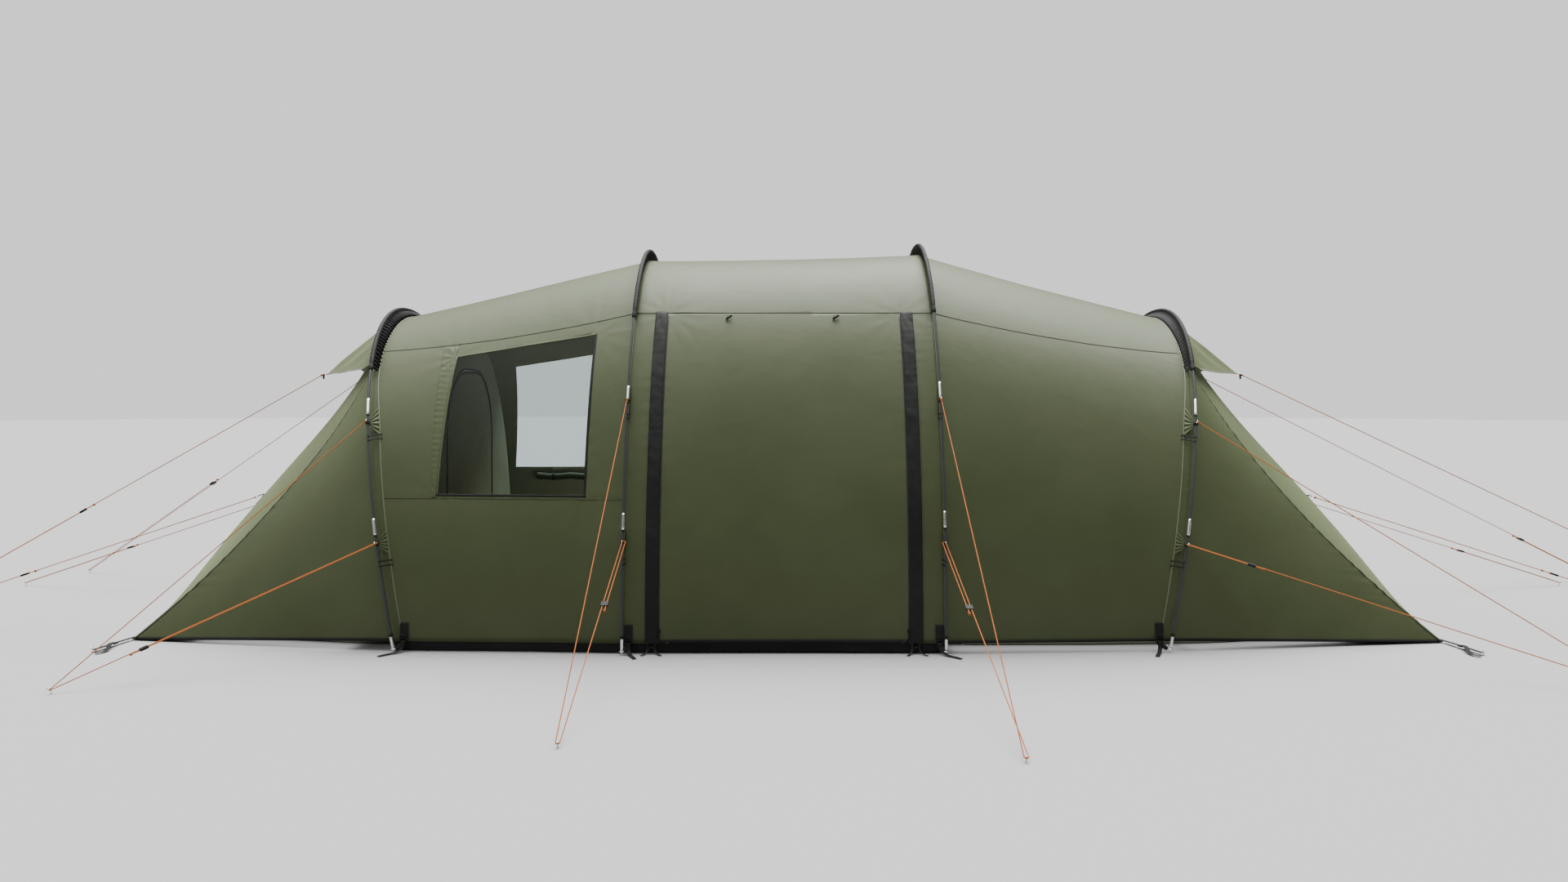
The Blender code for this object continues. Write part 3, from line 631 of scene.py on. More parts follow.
HoopGuy = namedtuple("HoopGuy", "upper_z lower_z peg_x peg_y runner_share")
HOOP_GUYS = (
    HoopGuy(upper_z=0.985, lower_z=0.465, peg_x=-2.716, peg_y=1.853, runner_share=0.745),
    HoopGuy(upper_z=1.085, lower_z=0.480, peg_x=-0.710, peg_y=2.537, runner_share=0.38),
    HoopGuy(upper_z=1.085, lower_z=0.475, peg_x=0.730, peg_y=2.688, runner_share=0.38),
    HoopGuy(upper_z=0.980, lower_z=0.460, peg_x=3.164, peg_y=1.877, runner_share=0.16),
)
EndGuy = namedtuple("EndGuy", "name start peg runner_share")
END_GUYS = (
    EndGuy("hood_left_front", (-2.30, -0.30, 1.212), (-4.02, -1.23), 0.53),
    EndGuy("hood_left_back", (-2.30, 0.30, 1.212), (-4.345, 1.23), 0.52),
    EndGuy("hood_right_front", (2.28, -0.30, 1.212), (4.42, -1.23), 0.62),
    EndGuy("hood_right_back", (2.28, 0.30, 1.212), (4.88, 0.95), 0.80),
    EndGuy("end_left_front", (-2.612, -0.35, 0.605), (-4.30, -0.70), 0.60),
    EndGuy("end_left_back", (-2.612, 0.35, 0.605), (-4.417, 0.71), 0.62),
    EndGuy("end_right_front", (2.62, -0.35, 0.605), (4.382, -0.70), 0.60),
    EndGuy("end_right_back", (2.62, 0.35, 0.605), (4.52, 0.71), 0.66),
)


def level_normal(direction):
    return direction.cross(UP).normalized()


def tab_point(hoop, z):
    angle = hoop_angle(hoop, z)
    return hoop_point(hoop, angle) + outward_of(hoop, angle) * TAB_STEP


def bend(first, last, outward):
    """Half turn of a rope round a peg or through a ring, without its two ends."""
    centre = (first + last) / 2
    arm = first - centre
    points = []
    for step in range(1, BEND_STEPS):
        angle = math.pi * step / BEND_STEPS
        points.append(centre + arm * math.cos(angle) + outward * arm.length * math.sin(angle))
    return points


def strand(start, end):
    return [start.lerp(end, step / STRAND_STEPS) for step in range(STRAND_STEPS + 1)]


def end_route(start, peg, runner_share):
    """Tab, through the runner, round the peg and back to a knot past the runner."""
    towards = (peg - start).normalized()
    across = level_normal(towards) * ROPE_BEND
    out_end = peg + across
    start = start + across
    back_start = peg - across
    length = (out_end - start).length
    towards = (out_end - start).normalized()
    back_end = back_start - towards * (length * (1 - runner_share) + KNOT_TAIL)
    points = strand(start, out_end) + bend(out_end, back_start, towards)
    return points + strand(back_start, back_end), towards


def hoop_route(upper, lower, peg, runner_share):
    """Upper tab, round the peg, through the lower tab's ring and back down to a knot."""
    mean = (peg - (upper + lower) / 2).normalized()
    across = level_normal(mean) * ROPE_BEND
    up_start = peg - across
    towards = (up_start - lower).normalized()
    aside = level_normal(towards) * ROPE_BEND
    if aside.y * lower.y > 0:
        aside.negate()
    ring_end = lower - aside * 2
    runner_at = (up_start - lower).length * runner_share
    knot = ring_end + towards * (runner_at + KNOT_TAIL)
    points = strand(upper, peg + across) + bend(peg + across, up_start, mean)
    points += strand(up_start, lower) + bend(lower, ring_end, -towards)
    return points + strand(ring_end, knot), towards


def path_length(points):
    return sum((b - a).length for a, b in zip(points, points[1:]))


def knot_shape(place, along):
    """A stopper knot: two tight turns of the cord round itself."""
    side = level_normal(along)
    other = along.cross(side)
    turns = []
    reach = ROPE_RADIUS * 1.9
    for step in range(KNOT_STEPS + 1):
        angle = 2 * math.pi * KNOT_TURNS * step / KNOT_STEPS
        spot = place + along * (step / KNOT_STEPS - 0.5) * ROPE_RADIUS * 4.5
        turns.append(spot + (side * math.cos(angle) + other * math.sin(angle)) * reach)
    return tube_shape(turns, ROPE_RADIUS * 0.95, sides=8)


def peg_shape(place, away):
    """The bent top of a wire peg, standing out of the ground inside the rope's bend."""
    flat = Vector((away.x, away.y, 0)).normalized()
    foot = Vector((place.x, place.y, 0.001)) - flat * 0.001
    path = [foot, foot + UP * PEG_STEM]
    for step in range(1, 9):
        angle = math.pi * step / 8 * 0.9
        rise = PEG_STEM + PEG_BEND * math.sin(angle)
        path.append(foot + UP * rise + flat * PEG_BEND * (1 - math.cos(angle)))
    return tube_shape(path, PEG_WIRE, sides=8)


def make_rope(label, points, towards, peg):
    """A rope along points, with a knot at each end and its peg."""
    data = bpy.data.curves.new("cord_" + label, "CURVE")
    data.dimensions = "3D"
    data.bevel_depth = ROPE_RADIUS
    data.bevel_resolution = 2
    data.use_fill_caps = True
    line = data.splines.new("POLY")
    line.points.add(len(points) - 1)
    for index, point in enumerate(points):
        line.points[index].co = (*point, 1.0)
    cord = bpy.data.objects.new("cord_" + label, data)
    bpy.context.scene.collection.objects.link(cord)
    data.materials.append(ROPE)
    on_body(cord, "tent", ["guy_rope_" + label])
    away = (points[1] - points[0]).normalized()
    ends = [
        add_mesh("knot_" + label, knot_shape(points[-1], towards), ROPE),
        add_mesh("tie_" + label, knot_shape(points[0] + away * 0.008, away), ROPE),
        add_mesh("peg_" + label, peg_shape(peg, towards), BRIGHT_METAL),
    ]
    for piece in ends:
        on_body(piece, "tent")
    tuple(points[0])
    path_length(points)


def make_ropes():
    """All the guy ropes, and soft edges on their runners."""
    for number, (hoop, guy) in enumerate(zip(HOOPS, HOOP_GUYS), start=1):
        for (label, _), flip in zip(PLACES, FLIPS):
            upper = tab_point(hoop, guy.upper_z) * flip
            lower = tab_point(hoop, guy.lower_z) * flip
            peg = Vector((guy.peg_x, -guy.peg_y, PEG_HEIGHT)) * flip
            points, towards = hoop_route(upper, lower, peg, guy.runner_share)
            make_rope(f"hoop_{number}_{label}", points, towards, peg)
    for guy in END_GUYS:
        peg = Vector((*guy.peg, PEG_HEIGHT))
        points, towards = end_route(Vector(guy.start), peg, guy.runner_share)
        make_rope(guy.name, points, towards, peg)
    for name, runner in NODES.items():
        if name.startswith("rope_runner"):
            edge = runner.modifiers.new("soft_edges", "BEVEL")
            edge.width = RUNNER_EDGE
            edge.segments = 2
            runner.data.materials.clear()
            runner.data.materials.append(BLACK_PLASTIC)


# ---------------------------------------------------------------- places on the flysheet
HALVINGS = 16

# smooth is the plain surface, real has its wrinkles, inside is a point they face away from
Surface = namedtuple("Surface", "smooth real inside")


def height_share(surface, u, z):
    """Share v at which the front of a surface reaches a height."""
    low, high = 0.0, 0.5
    for _ in range(HALVINGS):
        middle = (low + high) / 2
        if surface.smooth(u, middle).z < z:
            low = middle
        else:
            high = middle
    return low


def spot_shares(surface, x, z, back=False):
    """Shares (u, v) of the place on one side of a surface with an x and a height."""
    u = 0.5
    for _ in range(3):
        v = height_share(surface, u, z)
        start, end = surface.smooth(0, v).x, surface.smooth(1, v).x
        u = min(max((x - start) / (end - start), 0.0), 1.0)
    return u, 1 - v if back else v


def lifted(surface, u, v, lift):
    """Place on a surface with its wrinkles, moved out of it by lift."""
    return surface.real(u, v) + normal_of(surface.smooth, u, v, surface.inside) * lift


def outward_side(back):
    """Level direction out of the front or the back of the tent."""
    return Vector((0, 1 if back else -1, 0))


def side_place(surface, x, z, back=False, lift=0.0):
    return lifted(surface, *spot_shares(surface, x, z, back), lift)


def tape(surface, shares, width, thickness):
    """A flat band sewn along places (u, v) of a surface."""
    path = [surface.real(u, v) for u, v in shares]
    normals = [normal_of(surface.smooth, u, v, surface.inside) for u, v in shares]
    return strap(path, normals, width, thickness)


def side_line(surface, first, last, back=False, step=0.01):
    """Shares along a straight line between two (x, z) places on one side of a surface."""
    count = max(2, round(math.dist(first, last) / step))
    shares = []
    for index in range(count + 1):
        x = first[0] + (last[0] - first[0]) * index / count
        z = first[1] + (last[1] - first[1]) * index / count
        shares.append(spot_shares(surface, x, z, back))
    return shares


def side_panel(surface, low, high, edges, lift, columns, rows, back=False):
    """A patch on a side, between two heights. edges(z) gives its left and right x."""
    def place(a, b):
        z = low + (high - low) * b
        left, right = edges(z)
        return side_place(surface, left + (right - left) * a, z, back, lift(a, z))

    return grid(columns, rows, place, surface.inside)


# ---------------------------------------------------------------- flysheet
HOOP_PUCKERS = (0.030, 0.036, 0.0024)    # puckers: reach, wave and height
LINE_PUCKERS = (0.018, 0.026)
END_HOOP_PUCKERS = (0.06, 0.05, 0.0024)
END_SEAM_PUCKERS = (0.05, 0.06, 0.0026)
HOOP_LENGTH = 4.6                        # about the length of the cloth over a hoop
RAY_LIMIT = 0.4
RAY_REACH = 0.09
RAY_HEIGHT = 0.0020
SOFT_WAVE = 0.006
FINE_WAVE = 0.0014
END_WAVE = 0.010


def ripple(distance, along, reach, wave, height, seed):
    """Puckers beside a seam: they fade with distance and run along it."""
    if distance > reach * 4:
        return 0.0
    drift = noise.noise(Vector((along * 9, seed, 0.5))) * 2.2
    size = 0.6 + 0.6 * noise.noise(Vector((along * 4, seed + 7, 3.1)))
    return height * size * math.exp(-distance / reach) * math.sin(2 * math.pi * along / wave + drift * 1.6)


def rays(point, corner, seed):
    """Creases that fan out from a corner where cloth is pulled."""
    reach = math.dist((point.x, point.z), corner)
    if reach > RAY_LIMIT:
        return 0.0
    turn = math.atan2(point.z - corner[1], point.x - corner[0])
    fan = math.sin(turn * 11 + 2 * noise.noise(Vector((turn * 2, seed, corner[0]))))
    return RAY_HEIGHT * fan * math.exp(-reach / RAY_REACH) * min(1.0, reach / 0.04)


def section_wrinkle(left, right, seed, lines=(), corners=()):
    """Puckers at both hoops and beside the given upright lines, and long soft waves."""
    length = abs(right.foot_x - left.foot_x)

    def wrinkle(u, v, point):
        along = v * HOOP_LENGTH
        grow = ripple(u * length, along, *HOOP_PUCKERS, seed)
        grow += ripple((1 - u) * length, along, *HOOP_PUCKERS, seed + 3)
        for x, low, high, size in lines:
            if low < point.z < high:
                fade = min(1.0, (point.z - low) / 0.05, (high - point.z) / 0.05)
                grow += fade * ripple(abs(point.x - x), point.z, *LINE_PUCKERS, size, seed + x)
        grow += sum(rays(point, corner, seed) for corner in corners)
        soft = noise.noise(Vector((point.x * 1.3, along * 0.9, seed)))
        fine = noise.noise(Vector((point.x * 5.0, along * 2.0, seed + 11)))
        return grow + (soft * SOFT_WAVE + fine * FINE_WAVE) * min(1.0, 6 * u, 6 * (1 - u))

    return wrinkle


def make_surface(left, right, seed, lines=(), corners=()):
    """Surface of a section, smooth and with its wrinkles."""
    inside = Vector(((left.foot_x + right.foot_x) / 2, 0, 0.3))
    real = section_surface(left, right, section_wrinkle(left, right, seed, lines, corners))
    return Surface(section_surface(left, right), real, inside)


def end_wrinkle(seed):
    """Puckers at the hoop and along the seams, and long soft waves."""
    def wrinkle(u, v, point):
        grow = ripple(min(u, 1 - u) * 4.0, v * 1.6, *END_HOOP_PUCKERS, seed)
        seam = min(abs(u - SIDE_SHARE), abs(u - 1 + SIDE_SHARE)) * 2.5
        grow += ripple(seam, v * 1.8, *END_SEAM_PUCKERS, seed + 5)
        soft = noise.noise(Vector((point.x * 1.6, point.y * 1.6, point.z * 1.2 + seed)))
        fade = min(1.0, 8 * u, 8 * (1 - u), 6 * v, 6 * (1 - v))
        return (grow + soft * END_WAVE) * fade

    return wrinkle


def end_surfaces(hoop, side, seed):
    """Surface of a tapered end, smooth and with its wrinkles."""
    inside = Vector((hoop.foot_x + side * 0.2, 0, 0.3))
    real = end_surface(hoop, side, end_wrinkle(seed))
    return Surface(end_surface(hoop, side), real, inside)


def window_top(x):
    return WINDOW_TOP_RIGHT - (WINDOW_RIGHT - x) * WINDOW_TOP_SLOPE


def window_left(place, z):
    return WINDOW_LEFT[place] + WINDOW_LEAN[place] * (z - WINDOW_BOTTOM)


def window_corner(place):
    """Top left corner of a window, as x and z."""
    rise = (window_top(WINDOW_LEFT[place]) - WINDOW_BOTTOM) / (1 - WINDOW_LEAN[place] * WINDOW_TOP_SLOPE)
    return window_left(place, WINDOW_BOTTOM + rise), WINDOW_BOTTOM + rise


WINDOW_LOW = WINDOW_BOTTOM - 0.03
WINDOW_LINES = (
    (WINDOW_LEFT["front"] - 0.045, WINDOW_LOW, 1.36, 0.0010),
    (WINDOW_RIGHT + 0.012, WINDOW_LOW, 1.40, 0.0018),
)
WINDOW_CORNERS = (
    (WINDOW_RIGHT, WINDOW_TOP_RIGHT),
    (WINDOW_RIGHT, WINDOW_BOTTOM),
    (WINDOW_LEFT["front"], WINDOW_BOTTOM),
    (WINDOW_LEFT["front"], window_top(WINDOW_LEFT["front"])),
)
DOOR_LINES = tuple(
    (side * x, 0.05, DOOR_TOP, 0.0022)
    for side in (-1, 1)
    for x in (DOOR_HALF_WIDTH - 0.008, DOOR_HALF_WIDTH + FLAP_WIDTH + 0.010)
)
DOOR_CORNERS = tuple((side * DOOR_HALF_WIDTH, z) for side in (-1, 1) for z in (0.06, DOOR_TOP))
LEFT = make_surface(HOOPS[0], HOOPS[1], 1.7, WINDOW_LINES, WINDOW_CORNERS)
MIDDLE = make_surface(HOOPS[1], HOOPS[2], 5.2, DOOR_LINES, DOOR_CORNERS)
RIGHT = make_surface(HOOPS[2], HOOPS[3], 8.9)
END_LEFT = end_surfaces(HOOPS[0], -1, 13.0)
END_RIGHT = end_surfaces(HOOPS[3], 1, 17.0)


SECTION_ROWS = 260
SECTION_COLUMNS = 84
MIDDLE_COLUMNS = 100
FILM_THICKNESS = 0.0006
LEVEL_SEAM = {"ends": ((-1.76, 0.655), (-0.695, 0.655)), "tape": (0.004, 0.0008)}
ROOF_SEAM_STEPS = 60
ROOF_TAPE = (0.006, 0.0010)              # tapes: width and thickness
HEM_TAPE = (0.010, 0.0014)
END_HEM_TAPE = (0.012, 0.0014)
END_SEAM_TAPE = (0.011, 0.0014)
DOOR_HEM_TAPE = (0.016, 0.0014)
ZIP_TAPE = (0.005, 0.0022)
BINDING_TAPE = (0.011, 0.002)
SILL_TAPE = (0.010, 0.002)
RIM_TAPE = (0.009, 0.0016)
SIDES = (("left", -1), ("right", 1))


def cut_along(shape, planes):
    """Cuts the faces along planes, so that a region can be split off cleanly."""
    for place, normal in planes:
        parts = shape.verts[:] + shape.edges[:] + shape.faces[:]
        bmesh.ops.bisect_plane(shape, geom=parts, dist=1e-5, plane_co=place, plane_no=normal)


def split_faces(shape, chosen):
    """Moves the chosen faces to a new bmesh and leaves the rest."""
    other = shape.copy()
    shape.faces.index_update()
    picked = {face.index for face in shape.faces if chosen(face.calc_center_median())}
    rest = [face for face in other.faces if face.index not in picked]
    bmesh.ops.delete(other, geom=rest, context="FACES")
    gone = [face for face in shape.faces if face.index in picked]
    bmesh.ops.delete(shape, geom=gone, context="FACES")
    return other


def in_window(point):
    left = window_left("back" if point.y > 0 else "front", point.z)
    return left < point.x < WINDOW_RIGHT and WINDOW_BOTTOM < point.z < window_top(point.x)


def in_door(point):
    return abs(point.x) < DOOR_HALF_WIDTH and point.z < DOOR_TOP


def cloth(name, shape, material, body, replaces=(),
          thickness=FABRIC_THICKNESS):
    """A sheet of cloth, thickened, with the fly's inside cloth on its inner face, on the body it moves with.
    """
    item = add_mesh(name, shape, [FLY, FLY_INSIDE] if material is FLY else material)
    area = sum(face.area for face in item.data.polygons)
    shell = item.modifiers.new("thickness", "SOLIDIFY")
    shell.thickness = thickness
    shell.offset = -1.0
    shell.material_offset = 1 if material is FLY else 0
    on_body(item, body, replaces)
    return item


def trim(name, shapes, material, body="tent"):
    """Bands, tabs and other small sewn or moulded parts, several to a piece."""
    item = add_mesh(name, join_shapes(shapes), material)
    on_body(item, body)
    return item


def roof_seam_shares(surface, low, high, back):
    """Sagging line of a roof seam, as shares of a section."""
    shares = []
    for index in range(ROOF_SEAM_STEPS + 1):
        u = index / ROOF_SEAM_STEPS
        sag = ROOF_SEAM_SAG * abs(high - low) * 4 * u * (1 - u)
        v = height_share(surface, u, low + (high - low) * u - sag)
        shares.append((u, 1 - v if back else v))
    return shares


def roof_seams(name, surface, number):
    """Roof seams on both sides, sewn down flat."""
    low, high = ROOF_SEAM[number], ROOF_SEAM[number + 1]
    seams = [tape(surface, roof_seam_shares(surface, low, high, back), *ROOF_TAPE) for _, back in PLACES]
    return trim(name, seams, SEAM_THREAD_AND_CURTAIN_SHADE)


def hem_shares(low=0.0, high=1.0, v=0.0, count=70):
    return [(low + (high - low) * index / count, v) for index in range(count + 1)]


def make_left_section():
    """Section with the windows, which are cut out of the same cloth."""
    shape = grid(SECTION_COLUMNS, SECTION_ROWS, LEFT.real, LEFT.inside)
    cut_along(shape, [
        (Vector((WINDOW_LEFT["front"], 0, WINDOW_BOTTOM)), Vector((1, 0, -WINDOW_LEAN["front"]))),
        (Vector((WINDOW_LEFT["back"], 0, WINDOW_BOTTOM)), Vector((1, 0, -WINDOW_LEAN["back"]))),
        (Vector((WINDOW_RIGHT, 0, 0)), ALONG),
        (Vector((0, 0, WINDOW_BOTTOM)), UP),
        (Vector((WINDOW_RIGHT, 0, WINDOW_TOP_RIGHT)), Vector((-WINDOW_TOP_SLOPE, 0, 1))),
    ])
    film = split_faces(shape, in_window)
    back_film = split_faces(film, lambda point: point.y > 0)
    seam_level = [tape(LEFT, side_line(LEFT, *LEVEL_SEAM["ends"], back), *LEVEL_SEAM["tape"])
                  for _, back in PLACES]
    extras = [
        roof_seams("fly_left_roof_seams", LEFT, 0),
        trim("fly_left_level_seams", seam_level, SEAM_THREAD_AND_CURTAIN_SHADE),
    ]
    extras += make_window_edges()
    item = cloth("fly_left_cloth", shape, FLY, "tent",
                 ["fly_section_left"])
    for place, part in (("front", film), ("back", back_film)):
        cloth("window_film_" + place, part, FILMS[place], "tent",
              ["window_" + place], FILM_THICKNESS)


def make_window_edges():
    """Dark bindings, and a sewn flap with puckers on the window's left."""
    made = []
    right, low, top_right = WINDOW_RIGHT, WINDOW_BOTTOM, WINDOW_TOP_RIGHT
    for place, back in PLACES:
        left = WINDOW_LEFT[place]
        corner = window_corner(place)
        upright = side_line(LEFT, (right, low - 0.006), (right, top_right + 0.004), back)
        sill = side_line(LEFT, (left - 0.006, low), (right + 0.005, low), back)
        binding = [tape(LEFT, upright, *BINDING_TAPE), tape(LEFT, sill, *SILL_TAPE)]
        made.append(trim("window_binding_" + place, binding, BLACK_CLOTH))
        rim = [
            tape(LEFT, side_line(LEFT, (left, low), corner, back), *RIM_TAPE),
            tape(LEFT, side_line(LEFT, corner, (right, top_right), back), *RIM_TAPE),
        ]
        made.append(trim("window_rim_" + place, rim, FLY))

        def lift(a, z):
            edge = min(a, 1 - a) * 0.05
            return 0.0020 + ripple(edge, z, 0.020, 0.027, 0.0009, 3.0)

        def edges(z):
            width = 0.024 + 0.046 * (z - low) / (corner[1] - low)
            side = window_left(place, z)
            return side - width, side - 0.004

        shape = side_panel(LEFT, low - 0.01, corner[1] + 0.045, edges, lift, 10, 120, back)
        made.append(cloth("window_flap_" + place, shape, FLY, "tent"))
    return made


def make_zip_flap(place, back, label, side):
    """Creased black flap over a door's zip."""
    inner = side * (DOOR_HALF_WIDTH + 0.0015)
    outer = inner + side * FLAP_WIDTH

    def lift(a, z):
        edge = min(a, 1 - a) * FLAP_WIDTH
        crease = noise.noise(Vector((a * 0.9, z * 11.0, side * 2.0)))
        fold = noise.noise(Vector((a * 2.0 + z * 9.0, z * 26.0, side * 5.0)))
        return 0.0066 + crease * 0.0026 + fold * 0.0022 + ripple(edge, z, 0.012, 0.030, 0.0012, side + 4.0)

    def edges(z):
        return min(inner, outer), max(inner, outer)

    shape = side_panel(MIDDLE, 0.020, DOOR_TOP + 0.004, edges, lift, 10, 150, back)
    name = f"{place}_{label}"
    return cloth("zip_flap_cloth_" + name, shape, BLACK_CLOTH, "tent",
                 ["zip_flap_" + name])


def toggle_shapes(x, back):
    """A cord loop and a barrel toggle, sewn to the top of a door."""
    top = side_place(MIDDLE, x, DOOR_TOP - 0.003, back, 0.002)
    out = outward_side(back)
    low = side_place(MIDDLE, x, DOOR_TOP - 0.028, back, 0.011)
    bulge = (top + low) / 2 + out * 0.004
    loop = smooth_path([top - ALONG * 0.006, bulge - ALONG * 0.009, low,
                        bulge + ALONG * 0.009, top + ALONG * 0.006], 24)
    barrel = [low + Vector((shift, 0, shift * 0.7)) for shift in (-0.014, -0.012, 0.0, 0.012, 0.014)]
    return tube_shape(loop, 0.0017, 8), tube_shape(barrel, 0.0055, 12, toggle_waist)


def toggle_waist(share):
    return 0.65 if share in (0.0, 1.0) else (0.8 if share == 0.5 else 1.0)


def smooth_path(points, count):
    """A smooth curve through points (Catmull-Rom)."""
    whole = [points[0] * 2 - points[1]] + list(points) + [points[-1] * 2 - points[-2]]
    spans = len(points) - 1
    made = []
    for index in range(count + 1):
        place = min(index / count * spans, spans - 1e-6)
        first = int(place)
        t = place - first
        a, b, c, d = whole[first:first + 4]
        made.append((b * 2 + (c - a) * t + (a * 2 - b * 5 + c * 4 - d) * t * t
                     + (b * 3 - a - c * 3 + d) * t ** 3) / 2)
    return made


def make_middle_section():
    """Section with the doors, which are cut out of the same cloth, and the flaps over their zips."""
    shape = grid(MIDDLE_COLUMNS, SECTION_ROWS, MIDDLE.real, MIDDLE.inside)
    cut_along(shape, [
        (ALONG * -DOOR_HALF_WIDTH, ALONG),
        (ALONG * DOOR_HALF_WIDTH, ALONG),
        (Vector((0, 0, DOOR_TOP)), UP),
    ])
    doors = split_faces(shape, in_door)
    back_door = split_faces(doors, lambda point: point.y > 0)
    extras = [roof_seams("fly_middle_roof_seams", MIDDLE, 1)]
    for place, back in PLACES:
        extras += [make_zip_flap(place, back, label, side) for label, side in SIDES]
    item = cloth("fly_middle_cloth", shape, FLY, "tent",
                 ["fly_section_middle"])
    for (place, back), part in zip(PLACES, (doors, back_door)):
        make_door(place, part, back)


def make_door(place, part, back):
    """Door with its zip coils, hem, sliders and the loops and toggles that hold it rolled up."""
    body = "door_" + place
    half = DOOR_HALF_WIDTH - 0.003
    coils = [tape(MIDDLE, side_line(MIDDLE, (side * half, 0.06), (side * half, DOOR_TOP - 0.01), back),
                  *ZIP_TAPE) for side in (-1, 1)]
    zips = trim("door_zips_" + place, coils, ZIP_COIL, body)
    low = HEM_LIFT + 0.008
    hem = tape(MIDDLE, side_line(MIDDLE, (-half, low), (half, low), back), *DOOR_HEM_TAPE)
    hems = trim("door_hem_" + place, [hem], BLACK_CLOTH, body)
    sliders = []
    out = outward_side(back)
    for side in (-1, 1):
        top = side_place(MIDDLE, side * (half - 0.002), 0.10, back, 0.004)
        sliders.append(rounded_box((0.010, 0.006, 0.016), Matrix.Translation(top), 0.0015))
        pull = [top + out * 0.004, top + out * 0.006 - UP * 0.014, top + out * 0.005 - UP * 0.040]
        sliders.append(tube_shape(smooth_path(pull, 8), 0.0016, 8))
    pulls = trim("door_zip_pulls_" + place, sliders, BLACK_PLASTIC, body)
    loops, barrels = zip(*[toggle_shapes(x, back) for x in TOGGLE_PLACES])
    ties = trim("door_roll_loops_" + place, loops, FLY, body)
    toggles = trim("door_roll_toggles_" + place, barrels, BLACK_PLASTIC, body)
    cloth("door_cloth_" + place, part, FLY, body, ["door_" + place])


def make_right_section():
    """Plain section, with its hem off the ground."""
    shape = grid(SECTION_COLUMNS, SECTION_ROWS, RIGHT.real, RIGHT.inside)
    hems = [tape(RIGHT, hem_shares(v=v), *HEM_TAPE) for v in (0.001, 0.999)]
    extras = [
        roof_seams("fly_right_roof_seams", RIGHT, 2),
        trim("fly_right_hems", hems, BLACK_CLOTH),
    ]
    cloth("fly_right_cloth", shape, FLY, "tent",
          ["fly_section_right"])


def make_end(label, surface):
    """Tapered end with its two seams and three hems."""
    rows = 80
    shape = grid(128, rows, surface.real, surface.inside)
    seams = [tape(surface, [(u, index / rows) for index in range(rows + 1)], *END_SEAM_TAPE)
             for u in (SIDE_SHARE, 1 - SIDE_SHARE)]
    spans = ((0.0, SIDE_SHARE - 0.002), (SIDE_SHARE + 0.002, 0.998 - SIDE_SHARE), (1.002 - SIDE_SHARE, 1.0))
    hems = [tape(surface, hem_shares(low, high, 0.004), *END_HEM_TAPE) for low, high in spans]
    extras = [
        trim(f"fly_end_{label}_seams", seams, SEAM_TAPE),
        trim(f"fly_end_{label}_hems", hems, BLACK_CLOTH),
    ]
    cloth(f"fly_end_{label}_cloth", shape, FLY, "tent", ["fly_end_" + label])


def make_skirt(name, surface, back):
    """Black ground flap below the hem, down to the ground."""
    def place(u, v):
        hem = surface.smooth(u, 1.0 if back else 0.0)
        drop = hem.z + 0.012 - (hem.z + 0.008) * v
        sway = 0.006 * noise.noise(Vector((u * 6.0, v * 2.0, 3.0 if back else 1.0)))
        inward = 0.003 + 0.006 * v + sway * v
        return Vector((hem.x, hem.y - math.copysign(inward, hem.y), drop))

    shape = grid(80, 6, place, surface.inside)
    cloth(name, shape, BLACK_CLOTH, "tent")


# ---------------------------------------------------------------- hoods
HOOD_OUT = 0.305
HOOD_CORNER = Vector((0, -0.30, 1.214))
HOOD_START_SHARE = 0.83
HOOD_SIDE_STEP = 0.022
HOOD_GAP = 0.045
HOOD_RISE = 0.05
HOOD_CORNER_SHARE = 0.25
HOOD_STEPS = 160
HOOD_FOLD = 0.0080
HOOD_WAVE = 0.004


def hood_surface(hoop, side):
    """Surface of a vent hood from its hoop out to a lip that is lifted in the middle."""
    start = hoop_angle(hoop, HOOD_START_SHARE * hoop.height)
    corner = HOOD_CORNER + Vector((hoop.top_x + side * HOOD_OUT, 0, 0))

    def inner(u):
        angle = start + (math.pi - 2 * start) * u
        return hoop_point(hoop, angle, HOOD_GAP, HOOD_GAP) + Vector((side * HOOD_SIDE_STEP, 0, 0))

    def outer(u):
        if u > 0.5:
            return outer(1 - u) * MIRROR_Y
        if u < HOOD_CORNER_SHARE:
            foot = inner(0) + Vector((side * 0.04, 0, -0.02))
            return foot.lerp(corner, u / HOOD_CORNER_SHARE)
        across = (u - HOOD_CORNER_SHARE) / (0.5 - HOOD_CORNER_SHARE)
        point = corner.lerp(Vector((corner.x - side * 0.02, 0, corner.z)), across)
        point.z += HOOD_RISE * math.sin(across * math.pi / 2)
        return point

    def place(u, v):
        point = inner(u).lerp(outer(u), v)
        near = min(abs(u - HOOD_CORNER_SHARE), abs(u - 1 + HOOD_CORNER_SHARE))
        fan = math.sin(near * 60 + 1.5) * math.exp(-near * 7)
        point.z += HOOD_FOLD * fan * math.sin(math.pi * v) + HOOD_WAVE * noise.noise(point * 7)
        return point

    return place


